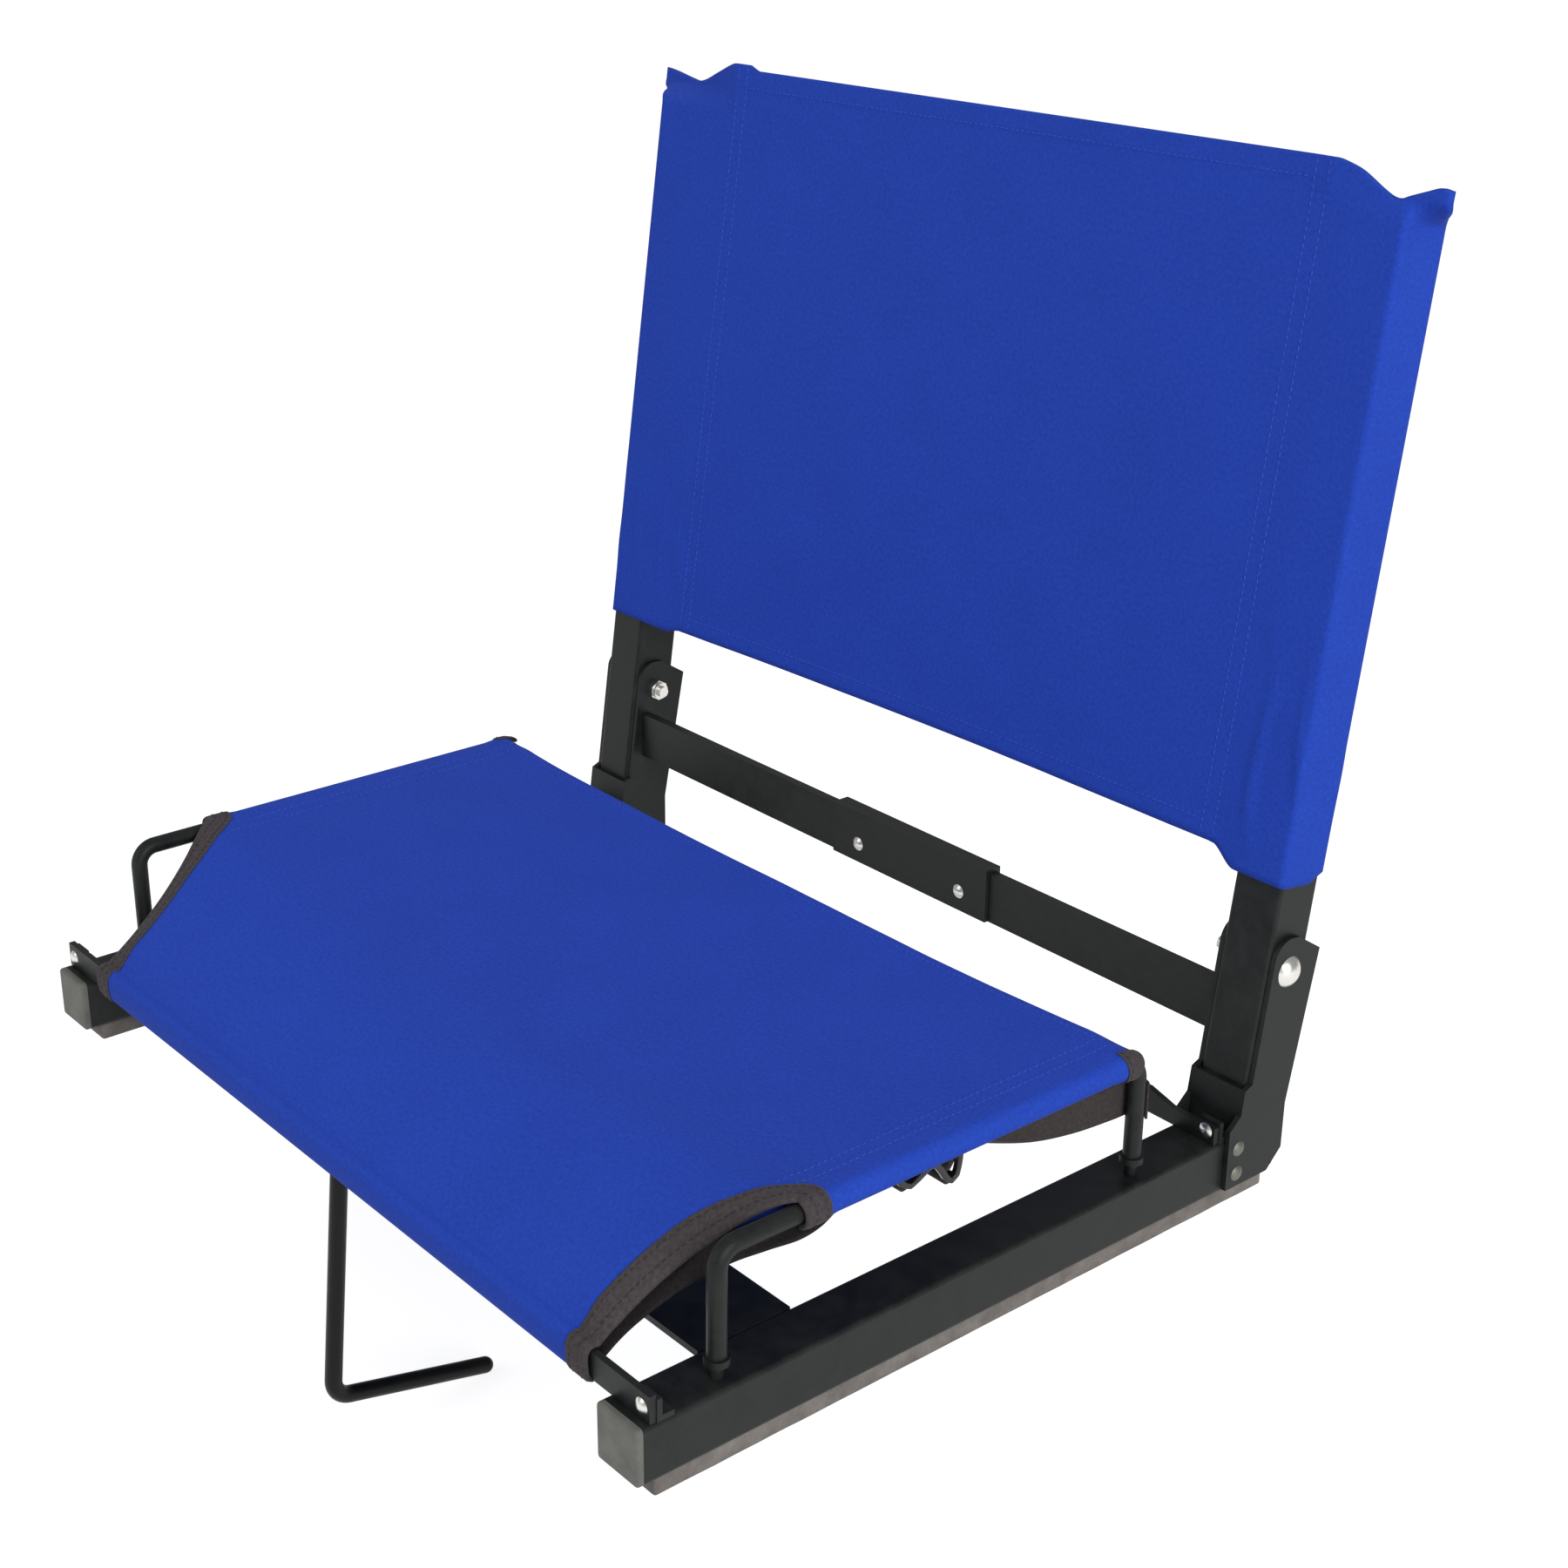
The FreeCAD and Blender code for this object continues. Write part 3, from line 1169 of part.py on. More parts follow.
for side_name, side_sign in SIDES.items():
    base_rail(side_name, side_sign)
    rail_cap(side_name, side_sign, "front", -1)
    rail_cap(side_name, side_sign, "rear", 1)
    rail_pad(side_name, side_sign)
    side_rod(side_name, side_sign)
    hinge_bracket(side_name, side_sign)
    bracket_rivets(side_name, side_sign)
    pivot_bolt(side_name, side_sign)
    rear_crossbar(side_name, side_sign)
    back_upright(side_name, side_sign)
    upright_plug(side_name, side_sign, "top_cap", 1, "dims.upright_top")
    upright_plug(side_name, side_sign, "foot_plug", -1, "dims.upright_foot")
    seat_binding(side_name, side_sign)

crossbar_sleeve()
crossbar_rivets()
front_bar()
rear_seat_bar()
for bar_name, bar_back in (("front_bar", FRONT_BAR_BACK), ("rear_bar", REAR_BAR_BACK)):
    bar_lugs(bar_name, bar_back)
    bar_rivets(bar_name, bar_back)
cross_plate()
hook_bracket()
bleacher_hook()
seat_sling()
back_sling()
closure_strap()

doc.recompute()

for item in doc.Objects:
    if "Invalid" in item.State or "Error" in item.State:
        raise SystemExit(f"{item.Name} failed: {item.State}")
for item in nodes:
    if item.Shape.isNull() or not item.Shape.isValid():
        raise SystemExit(f"{item.Label} has no sound shape")

os.makedirs("parts", exist_ok=True)
for item in nodes:
    item.Shape.exportStep(os.path.join("parts", f"{item.Label}.step"))
    bounds = item.Shape.BoundBox
    print(
        f"{item.Label}: {len(item.Shape.Solids)} solid, {item.Shape.Volume:.0f} mm3, "
        f"x {bounds.XMin:.1f} {bounds.XMax:.1f}, y {bounds.YMin:.1f} {bounds.YMax:.1f}, "
        f"z {bounds.ZMin:.1f} {bounds.ZMax:.1f}")
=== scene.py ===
import json
import math

import bpy
from mathutils import Matrix, Vector, noise


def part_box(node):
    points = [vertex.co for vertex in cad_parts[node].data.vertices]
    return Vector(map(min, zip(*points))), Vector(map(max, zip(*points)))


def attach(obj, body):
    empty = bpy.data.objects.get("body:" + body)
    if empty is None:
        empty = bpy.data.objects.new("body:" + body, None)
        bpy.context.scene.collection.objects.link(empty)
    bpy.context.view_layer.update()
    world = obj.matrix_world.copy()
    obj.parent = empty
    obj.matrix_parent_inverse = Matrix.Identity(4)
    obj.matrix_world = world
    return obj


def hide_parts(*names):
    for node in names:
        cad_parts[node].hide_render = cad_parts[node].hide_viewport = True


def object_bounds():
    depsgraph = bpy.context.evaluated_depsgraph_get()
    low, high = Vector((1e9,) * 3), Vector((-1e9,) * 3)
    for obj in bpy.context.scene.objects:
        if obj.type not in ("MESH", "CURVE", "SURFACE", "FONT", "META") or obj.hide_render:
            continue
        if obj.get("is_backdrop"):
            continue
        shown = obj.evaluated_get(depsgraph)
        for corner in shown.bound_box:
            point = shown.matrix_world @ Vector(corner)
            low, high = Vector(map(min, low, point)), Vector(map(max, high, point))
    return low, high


# A folding stadium seat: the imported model's steel frame, with the cloth and soft trim made here.
# Lengths are in millimetres until a mesh is written, then in metres.

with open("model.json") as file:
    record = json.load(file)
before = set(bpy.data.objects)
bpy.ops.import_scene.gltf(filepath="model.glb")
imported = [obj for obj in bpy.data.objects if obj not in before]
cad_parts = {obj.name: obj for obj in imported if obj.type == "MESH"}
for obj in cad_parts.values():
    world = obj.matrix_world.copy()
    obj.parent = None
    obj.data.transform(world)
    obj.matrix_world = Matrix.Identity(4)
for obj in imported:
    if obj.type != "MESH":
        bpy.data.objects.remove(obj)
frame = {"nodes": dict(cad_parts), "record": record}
cad_low, cad_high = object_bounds()

MM = 0.001
LEFT = -1
RIGHT = 1


def corners(node):
    """Lowest and highest corner of a frame node in millimetres."""
    low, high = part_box(node)
    return Vector(low) / MM, Vector(high) / MM


def new_object(name, data):
    """An object with its data, put into the scene."""
    item = bpy.data.objects.new(name, data)
    bpy.context.scene.collection.objects.link(item)
    return item


# Camera: the photograph's angle, solved from the tube frame

AZIMUTH = math.radians(49.71)
ELEVATION = math.radians(22.37)
ROLL = math.radians(0.56)
CAMERA_PLACE = Vector((0.8300, -0.6118, 0.5913))
SENSOR_WIDTH = 36
PHOTO_SIDE = 1800
FOCAL_PIXELS = 2822.1
PRINCIPAL = (902.2, 893.2)

back_way = Vector((
    math.sin(AZIMUTH) * math.cos(ELEVATION),
    -math.cos(AZIMUTH) * math.cos(ELEVATION),
    math.sin(ELEVATION),
))
right_way = Vector((math.cos(AZIMUTH), math.sin(AZIMUTH), 0))
up_way = back_way.cross(right_way)
rolled_right = right_way * math.cos(ROLL) + up_way * math.sin(ROLL)
rolled_up = up_way * math.cos(ROLL) - right_way * math.sin(ROLL)

camera_data = bpy.data.cameras.new("studio_camera")
camera_data.sensor_width = SENSOR_WIDTH
camera_data.lens = FOCAL_PIXELS * SENSOR_WIDTH / PHOTO_SIDE
camera_data.shift_x = (PHOTO_SIDE / 2 - PRINCIPAL[0]) / PHOTO_SIDE
camera_data.shift_y = (PRINCIPAL[1] - PHOTO_SIDE / 2) / PHOTO_SIDE
camera_data.clip_start = 0.05
camera_data.clip_end = 50
camera = new_object("studio_camera", camera_data)
camera_turn = Matrix((rolled_right, rolled_up, back_way)).transposed().to_4x4()
camera.matrix_world = Matrix.Translation(CAMERA_PLACE) @ camera_turn
bpy.context.scene.camera = camera


# Materials

def linear(hex_colour):
    """An sRGB hex value as a linear colour."""
    shades = []
    for start in (0, 2, 4):
        part = int(hex_colour[start:start + 2], 16) / 255
        shades.append(part / 12.92 if part <= 0.04045 else ((part + 0.055) / 1.055) ** 2.4)
    return (*shades, 1.0)


def link(material, source, socket):
    material.node_tree.links.new(source, socket)


def add_node(material, kind, settings=None, links=None):
    """Adds a shader node, sets its properties and sockets, and links sockets to others."""
    node = material.node_tree.nodes.new(kind)
    for name, value in (settings or {}).items():
        if isinstance(name, str) and hasattr(node, name):
            setattr(node, name, value)
        else:
            node.inputs[name].default_value = value
    for name, source in (links or {}).items():
        link(material, source, node.inputs[name])
    return node


def noise_value(material, place, scale, detail, rough=0.5):
    """Value of a noise texture over a place, its scale in waves a metre."""
    settings = {"Scale": scale, "Detail": detail, "Roughness": rough}
    return add_node(material, "ShaderNodeTexNoise", settings, {"Vector": place}).outputs["Fac"]


def object_place(material):
    return add_node(material, "ShaderNodeTexCoord").outputs["Object"]


def new_material(name, colour, rough, specular=0.5):
    """A plain material and its shader, to be given its detail."""
    material = bpy.data.materials.new(name)
    material.use_nodes = True
    shader = material.node_tree.nodes["Principled BSDF"]
    shader.inputs["Base Color"].default_value = linear(colour)
    shader.inputs["Roughness"].default_value = rough
    shader.inputs["Specular IOR Level"].default_value = specular
    return material, shader


def two_tones(material, shader, deep, pale, value, low, high):
    """Mixes a deep and a pale colour by a texture's value and feeds the base colour."""
    tone = add_node(
        material, "ShaderNodeMapRange", {"From Min": low, "From Max": high}, {"Value": value})
    mix = add_node(material, "ShaderNodeMix", {"data_type": "RGBA"}, {"Factor": tone.outputs[0]})
    mix.inputs[6].default_value = linear(deep)
    mix.inputs[7].default_value = linear(pale)
    link(material, mix.outputs[2], shader.inputs["Base Color"])


def raise_bumps(material, shader, height, strength, distance):
    """Bumps of a strength and a height in millimetres where the value is high."""
    settings = {"Strength": strength, "Distance": distance * MM}
    bump = add_node(material, "ShaderNodeBump", settings, {"Height": height})
    link(material, bump.outputs[0], shader.inputs["Normal"])


# How much the yarn's slow cloudiness and the weave itself count in a cloth's tone
CLOUD_WEIGHT = 0.28
WEAVE_WEIGHT = 0.12


def woven(name, deep, pale, thread, depth, sheen):
    """Plain weave on the piece's own flat layout, with the slight cloudiness of dyed yarn."""
    material, shader = new_material(name, pale, 0.85, 0.12)
    layout = add_node(material, "ShaderNodeUVMap", {"uv_map": "cloth"})
    threads = []
    for turned in (0, math.pi / 2):
        way = add_node(
            material, "ShaderNodeMapping", {"Rotation": (0, 0, turned)},
            {"Vector": layout.outputs[0]})
        # A wave texture repeats every tau / 20 of its scale, so this is one band a thread
        threads.append(add_node(material, "ShaderNodeTexWave", {
            "bands_direction": "X", "Scale": math.tau / 20 / (thread * MM), "Distortion": 0.8,
            "Detail": 1.0, "Detail Scale": 1.5,
        }, {"Vector": way.outputs[0]}))
    weave = add_node(
        material, "ShaderNodeMath", {"operation": "MAXIMUM"},
        {0: threads[0].outputs["Fac"], 1: threads[1].outputs["Fac"]})
    cloud = noise_value(material, layout.outputs[0], 22.0, 6.0, 0.62)
    fleck = noise_value(material, layout.outputs[0], 520.0, 2.0, 0.7)
    yarn = add_node(
        material, "ShaderNodeMath", {"operation": "MULTIPLY_ADD", 1: CLOUD_WEIGHT},
        {0: cloud, 2: fleck})
    grain = add_node(
        material, "ShaderNodeMath", {"operation": "MULTIPLY_ADD", 1: WEAVE_WEIGHT},
        {0: weave.outputs[0], 2: yarn.outputs[0]})
    two_tones(material, shader, deep, pale, grain.outputs[0], 0.45, 1.05)
    raise_bumps(material, shader, weave.outputs[0], 0.35, depth)
    shader.inputs["Sheen Weight"].default_value = sheen
    shader.inputs["Sheen Roughness"].default_value = 0.4
    return material


def powder_coated(name, deep, pale, rough):
    """Satin powder coat on steel: fine orange peel, uneven gloss and paler rubbed patches."""
    material, shader = new_material(name, deep, rough, 0.2)
    place = object_place(material)
    peel = noise_value(material, place, 1400.0, 2.0)
    rubs = noise_value(material, place, 70.0, 8.0, 0.72)
    two_tones(material, shader, deep, pale, rubs, 0.4, 0.72)
    gloss = add_node(material, "ShaderNodeMapRange", {
        "From Min": 0.3, "From Max": 0.7, "To Min": rough - 0.08, "To Max": rough + 0.1},
        {"Value": rubs})
    link(material, gloss.outputs[0], shader.inputs["Roughness"])
    raise_bumps(material, shader, peel, 0.3, 0.12)
    return material


def moulded(name, deep, pale, rough, grain, depth):
    """Moulded plastic or foam: one colour with a fine grain and a paler bloom."""
    material, shader = new_material(name, deep, rough, 0.4)
    place = object_place(material)
    bloom = noise_value(material, place, 85.0, 5.0, 0.65)
    grains = noise_value(material, place, 1 / (grain * MM), 3.0)
    two_tones(material, shader, deep, pale, bloom, 0.35, 0.7)
    raise_bumps(material, shader, grains, 0.4, depth)
    return material


def plated(name, colour, rough):
    """Bright zinc plate: a white metal with a fine grain."""
    material, shader = new_material(name, colour, rough)
    grains = noise_value(material, object_place(material), 900.0, 3.0)
    raise_bumps(material, shader, grains, 0.2, 0.1)
    shader.inputs["Metallic"].default_value = 1.0
    return material


# Royal blue polyester canvas: flat and deep, a little paler where the yarn shows
blue_cloth = woven("royal_blue_polyester_canvas", "2343AB", "2C51CC", 0.8, 0.12, 0.04)
# Brown-black woven edging tape: dull, with a coarse thread
binding_tape = woven("woven_edging_tape", "3E393B", "575154", 1.1, 0.25, 0.1)
# The same tape with painted shade: near black, for the shadow it lies in under the rod and the
# upper layer. It is bound round the lower layer
painted_shade_tape = woven("edging_tape_with_painted_shade", "1E1C1D", "2F2C2D", 1.1, 0.25, 0.05)
# Nylon strap webbing: dark brown-black, coarse ribs
webbing = woven("nylon_strap_webbing", "353130", "4B4645", 1.5, 0.35, 0.1)
# Blue polyester sewing thread: the cloth's colour, slightly brighter, with a soft gleam
blue_thread = moulded("polyester_sewing_thread", "2A4DC0", "3459CC", 0.6, 0.3, 0.05)
# Brown-black polyester sewing thread: dull, and a shade darker than the edging tape
dark_thread = moulded("dark_sewing_thread", "2E2828", "3A3333", 0.7, 0.3, 0.05)
# Satin black powder coat on the steel frame: near black, with a soft grey gleam and paler rubs
powder_coat = powder_coated("satin_black_powder_coat", "191B1B", "2A2C2B", 0.46)
# Black dip paint on the hook's steel rod: deeper and a little smoother than the frame's coat
dipped_black = powder_coated("dipped_black_rod", "070808", "0E0F0F", 0.4)
# Grey polyethylene end cap: dull and slightly chalky
cap_plastic = moulded("grey_polyethylene_cap", "5D5E59", "74756E", 0.6, 0.6, 0.2)
# Closed-cell foam under the rails: pale brown-grey and dull, with open pores on the cut faces
grip_foam = moulded("closed_cell_grip_foam", "6E6965", "8C8681", 0.95, 0.9, 0.6)
# Black acetal of the ladder buckle: hard and glossy
buckle_plastic = moulded("black_acetal_buckle", "131315", "1A1A1C", 0.22, 0.5, 0.03)
# Bright zinc plate on bolts, nuts and other rivets: pale, with clear highlights
zinc = plated("bright_zinc_plate", "DAD9D4", 0.3)
# Zinc plate on the brackets' rivets, greyed by a thin dull film of the frame's coat
coated_zinc = plated("dull_coated_zinc", "77786F", 0.55)

FINISHES = {
    "black_powder_coat": powder_coat,
    "grey_plastic": cap_plastic,
    "grip_foam": grip_foam,
    "zinc": zinc,
    "binding_tape": binding_tape,
    "blue_cloth": blue_cloth,
    "strap_webbing": webbing,
    "buckle_plastic": buckle_plastic,
}
# Nodes whose finish differs from the rest of their slot
OWN_FINISHES = {
    "bleacher_hook": dipped_black,
    "bracket_rivets_left": coated_zinc,
    "bracket_rivets_right": coated_zinc,
}
for part in frame["record"]["subparts"]:
    node = frame["nodes"][part["node"]]
    node.data.materials.clear()
    finish = OWN_FINISHES.get(part["node"], FINISHES[part["material_slot"]])
    node.data.materials.append(finish)


# Making pieces

def set_mode(mode):
    bpy.ops.object.mode_set(mode=mode)


def only(piece):
    """Makes a piece the one that is selected and worked on."""
    bpy.ops.object.select_all(action="DESELECT")
    piece.select_set(True)
    bpy.context.view_layer.objects.active = piece


def lengths_along(places):
    """Distance of each place from the first, measured through the others."""
    lengths = [0.0]
    for before, after in zip(places, places[1:]):
        lengths.append(lengths[-1] + (after - before).length)
    return lengths


def cloth_grid(name, points):
    """A sheet through rows of points, with a flat layout in metres measured along it."""
    rows = len(points) - 1
    columns = len(points[0]) - 1
    bpy.ops.mesh.primitive_grid_add(
        x_subdivisions=columns, y_subdivisions=rows, size=2, calc_uvs=True)
    piece = bpy.context.object
    piece.name = name
    mesh = piece.data
    middle = columns // 2
    across = []
    for line in points:
        lengths = lengths_along(line)
        across.append([length - lengths[middle] for length in lengths])
    along = lengths_along([line[middle] for line in points])
    for index, vertex in enumerate(mesh.vertices):
        row, column = divmod(index, columns + 1)
        vertex.co = points[row][column] * MM
    layout = mesh.uv_layers[0]
    layout.name = "cloth"
    for corner in mesh.loops:
        row, column = divmod(corner.vertex_index, columns + 1)
        layout.data[corner.index].uv = (across[row][column] * MM, along[row] * MM)
    only(piece)
    bpy.ops.object.shade_smooth()
    return piece


def flat_size(piece):
    """Width, length and area in metres that the sheet was cut to, from its flat layout."""
    spots = [tuple(corner.uv) for corner in piece.data.uv_layers["cloth"].data]
    width, length = (max(places) - min(places) for places in zip(*spots))
    return width, length, sum(face.area for face in piece.data.polygons)


def drop_faces(piece, unwanted):
    """Removes the faces that the test picks out."""
    picked = [unwanted(face) for face in piece.data.polygons]
    only(piece)
    set_mode("EDIT")
    bpy.ops.mesh.select_mode(type="FACE")
    bpy.ops.mesh.select_all(action="DESELECT")
    set_mode("OBJECT")
    piece.data.polygons.foreach_set("select", picked)
    set_mode("EDIT")
    bpy.ops.mesh.delete(type="FACE")
    set_mode("OBJECT")


def apply_modifier(piece, kind, **settings):
    """Adds a modifier with its settings and applies it to the mesh."""
    only(piece)
    modifier = piece.modifiers.new(kind.lower(), kind)
    for name, value in settings.items():
        setattr(modifier, name, value)
    bpy.ops.object.modifier_apply(modifier=modifier.name)


def thicken(piece, thickness):
    """Gives a sheet its thickness, half to each side."""
    apply_modifier(piece, "SOLIDIFY", thickness=thickness * MM, offset=0.0)


def round_edges(piece, width, segments):
    apply_modifier(
        piece, "BEVEL", width=width * MM, segments=segments, limit_method="ANGLE",
        angle_limit=0.7)


def finish_piece(piece, material, slot, body, *nodes):
    """Gives a piece its material and body, and hides the nodes that it stands for. The slot is not
    used.
    """
    piece.data.materials.clear()
    piece.data.materials.append(material)
    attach(piece, body)
    if nodes:
        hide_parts(*nodes)
    return piece


# Seat cloth: hemmed round the front bar, open at both front corners, sleeved round both rods

CLOTH = 1.2
PLAY = 0.3
STAND_OFF = PLAY + CLOTH / 2
bar_high = corners("front_bar")[1]
rod_low, rod_high = corners("side_rod_right")
ROD_RADIUS = 4.0
ROD_BEND = 9.0
ROD_X = (rod_low.x + rod_high.x) / 2
ROD_Z = rod_high.z - ROD_RADIUS
REAR_LEG_Y = 92.0
BEND_START = REAR_LEG_Y - ROD_BEND
# The cloth's middle layer, from the rod's middle
WRAP = ROD_RADIUS + STAND_OFF
MOUTH_FRONT = -95.5
MOUTH_REAR = 88.0
FRONT_FLARE = 0.8
REAR_FLARE = 0.5
SLOPE_START = bar_high.y + STAND_OFF
BAR_TOP = bar_high.z + STAND_OFF + 0.3
FRONT_HALF = 202.0
CUT_OUT_POWER = 2.2
# The sleeve's seam, and the free end of its flap under the seat
PINCH_X = 222.0
FLAP_X = 211.0
# How far the middle hangs below the side edges at the mouths, and its rise towards the rear
SAG = 14.8
REAR_RISE = 12.0
RISE_END = 86.0
# The free front edges run a little high, with a soft bulge beside the tape
EDGE_LIFT = 0.085
BULGE = 5.0
BULGE_WIDTH = 17.0
# Slow and small waves in the cloth: height, length and seed
SEAT_RIPPLES = ((0.5, 95, 1), (0.14, 30, 2))
BACK_RIPPLES = ((0.8, 120, 3), (0.2, 36, 4))


def ease(share):
    """A share held between 0 and 1, with a soft start and end."""
    share = min(1.0, max(0.0, share))
    return share * share * (3 - 2 * share)


def bowed(share, bow):
    """A share from 0 to 1 that starts steeper and ends flatter."""
    return share * (1 + bow - bow * share)


def drift(x, y, scale, seed):
    """A smooth value from minus one to one that wanders over the cloth."""
    return noise.noise(Vector((x / scale + seed * 17.3, y / scale + seed * 5.1, seed)))


def ripples(x, y, waves):
    """Sum of drifts, each given by its height, length and seed."""
    return sum(height * drift(x, y, length, seed) for height, length, seed in waves)


def flare(y):
    """How far the taped mouths of a sleeve stand off the rod."""
    at_front = 1 - ease((y - MOUTH_FRONT - 8) / 9)
    at_rear = ease((y - MOUTH_REAR + 16) / 8)
    return FRONT_FLARE * at_front + REAR_FLARE * at_rear


def edge_height(y):
    """Height of the cloth over a rod's top."""
    return ROD_Z + WRAP + flare(y)


def slope_y(share):
    """Place along the seat at a share of the way from the bar to the sleeves' mouths."""
    return SLOPE_START + (MOUTH_FRONT - SLOPE_START) * share


def slope_share(y):
    return (y - SLOPE_START) / (MOUTH_FRONT - SLOPE_START)


def front_half(share):
    """Half the cloth's width over the front cut-outs, from the bar at 0 to the rods at 1."""
    return FRONT_HALF + (ROD_X - FRONT_HALF) * min(1.0, max(0.0, share)) ** CUT_OUT_POWER


def read_line(line, share):
    """Value on a smooth line through places."""
    index = 0
    while index < len(line) - 2 and share > line[index + 1][0]:
        index += 1
    (before, low), (after, high) = line[index], line[index + 1]
    first, last = line[max(0, index - 1)], line[min(len(line) - 1, index + 2)]
    start_slope = (high - first[1]) / (after - first[0])
    end_slope = (last[1] - low) / (last[0] - before)
    span = after - before
    step = min(1.0, max(0.0, (share - before) / span))
    left = 1 - step
    return (
        low * (1 + 2 * step) * left ** 2 + high * (3 - 2 * step) * step ** 2
        + span * step * left * (start_slope * left - end_slope * step))


# The lower layer's bound edge by share of the way from bar to rods: half its width, its height
UNDER_HALVES = [
    (0.0, 202.0), (0.2, 203.2), (0.43, 211.0), (0.55, 219.0), (0.64, 225.0),
    (0.79, 231.0), (0.97, 234.0), (1.14, 232.5), (1.3, 228.5),
]
UNDER_HEIGHTS = [
    (0.0, 40.5), (0.2, 50.0), (0.43, 63.5), (0.55, 72.0), (0.64, 77.0),
    (0.79, 80.3), (0.97, 81.4), (1.14, 82.0), (1.3, 83.4),
]
# On the left that edge keeps close to the upper one: its part of the width, and its drops
LEFT_WIDTH = 0.1
LEFT_DROP = 8.4
LEFT_DROP_AT_RODS = 3.0
# Gap between the layers, what bar and rods add to it, and the width of the fall to the edge
LAYER_GAP = 1.6
BAR_GAP = 3.7
ROD_GAP = 1.9
UNDER_FALL = 24.0


def under_half(share, side):
    """Half the lower layer's width: on the right its edge runs on out beneath the rod."""
    wide = read_line(UNDER_HALVES, share)
    return front_half(share) + (wide - front_half(share)) * (1.0 if side > 0 else LEFT_WIDTH)


def under_edge(share, side):
    """Height of the lower layer's edge."""
    if side > 0:
        return read_line(UNDER_HEIGHTS, share)
    above = seat_height(front_half(share), slope_y(share))
    return above - LEFT_DROP - LEFT_DROP_AT_RODS * min(1.0, share) ** 2


def seat_height(x, y):
    """Height of the cloth's middle layer over a place between its side edges."""
    share = slope_share(y)
    top = edge_height(max(y, MOUTH_FRONT))
    if share < 1:
        share = max(0.0, share)
        half = front_half(share)
        middle = BAR_TOP + (top - SAG - BAR_TOP) * bowed(share, 0.8)
        bulge = BULGE * ease(share / 0.14) * (1 - ease((share - 0.55) / 0.4))
        rise = (1 + EDGE_LIFT) * share - EDGE_LIFT * share ** 14
        edge = BAR_TOP + (top - BAR_TOP) * rise + bulge
    else:
        half = ROD_X
        along = min(1.0, (y - MOUTH_FRONT) / (RISE_END - MOUTH_FRONT))
        middle = top - SAG + REAR_RISE * bowed(along, 0.5)
        bulge = 0.0
        edge = top
    height = middle + (edge - middle) * min(1.0, abs(x) / half) ** 2
    height -= bulge * max(0.0, (abs(x) - half + BULGE_WIDTH) / BULGE_WIDTH) ** 2
    # Taut along its edges and the bar, and looser within
    loose = ease((half - abs(x)) / 50) * ease((y - SLOPE_START) / 40)
    return height + loose * ripples(x, y, SEAT_RIPPLES)


def seat_skin(x, y, lift=0.0):
    """A point over the cloth, raised square to it."""
    step = 0.5
    slope_x = (seat_height(x + step, y) - seat_height(x - step, y)) / (2 * step)
    slope_back = (seat_height(x, y + step) - seat_height(x, y - step)) / (2 * step)
    normal = Vector((-slope_x, -slope_back, 1)).normalized()
    return Vector((x, y, seat_height(x, y))) + normal * lift


def under_height(x, y):
    """Height of the turned-under layer, which hangs lower along the cut-outs."""
    share = max(0.0, slope_share(y))
    half = under_half(share, x)
    above = seat_height(math.copysign(min(abs(x), front_half(share)), x), y)
    gap = LAYER_GAP + BAR_GAP * (1 - ease(share / 0.5)) + ROD_GAP * ease((share - 0.8) / 0.15)
    drop = seat_height(front_half(share), y) - under_edge(share, x)
    return above - gap - (drop - gap) * (1 - ease((half - abs(x)) / UNDER_FALL)) ** 1.3


def under_skin(x, y, lift=0.0):
    """A point over the turned-under layer, raised as the cloth above it is."""
    raise_by = seat_skin(x, y, 1.0) - seat_skin(x, y)
    return Vector((x, y, under_height(x, y))) + raise_by * lift


def rod_frame(y):
    """Middle of the rod and its upward side at a distance along it, down round the rear bend."""
    angle = max(0.0, y - BEND_START) / ROD_BEND
    along = min(y, BEND_START) + ROD_BEND * math.sin(angle)
    centre = Vector((0, along, ROD_Z - ROD_BEND * (1 - math.cos(angle))))
    return centre, Vector((0, math.sin(angle), math.cos(angle)))


def around_rod(side, angle, y, lift=0.0):
    """A point on the sleeve: 90 degrees is the rod's top and 0 its outer side."""
    centre, up = rod_frame(y)
    reach = WRAP + flare(y) + lift
    turn = math.radians(angle)
    outward = Vector((side * (ROD_X + reach * math.cos(turn)), 0, 0))
    return centre + up * (reach * math.sin(turn)) + outward


def contact_angle(y):
    """Where the bowed cloth meets the rod, in degrees inward of its top."""
    fall = edge_height(y) - seat_height(0, y)
    return math.degrees(math.atan(2 * fall / ROD_X))


# Front hem: places round the bar from the top of the slope, forward, down and back beneath
HEM = [
    (-170.2, 48.1), (-171.8, 48.0), (-173.3, 47.1), (-174.2, 45.5), (-174.5, 43.2), (-174.4, 40.5),
    (-174.2, 38.0), (-173.9, 35.9), (-173.1, 34.2), (-171.7, 33.4), (-170.0, 33.5), (-168.8, 34.4),
    (-168.4, 36.2), (-168.2, 38.6), (-167.8, 41.0),
]


def hem_skin(x, step, lift=0.0):
    """A point on the hem, raised square to it."""
    y, z = HEM[step]
    before = HEM[max(0, step - 1)]
    after = HEM[min(len(HEM) - 1, step + 1)]
    way = Vector((0, after[0] - before[0], after[1] - before[1])).normalized()
    return Vector((x, y, z)) + Vector((0, way.z, -way.y)) * lift


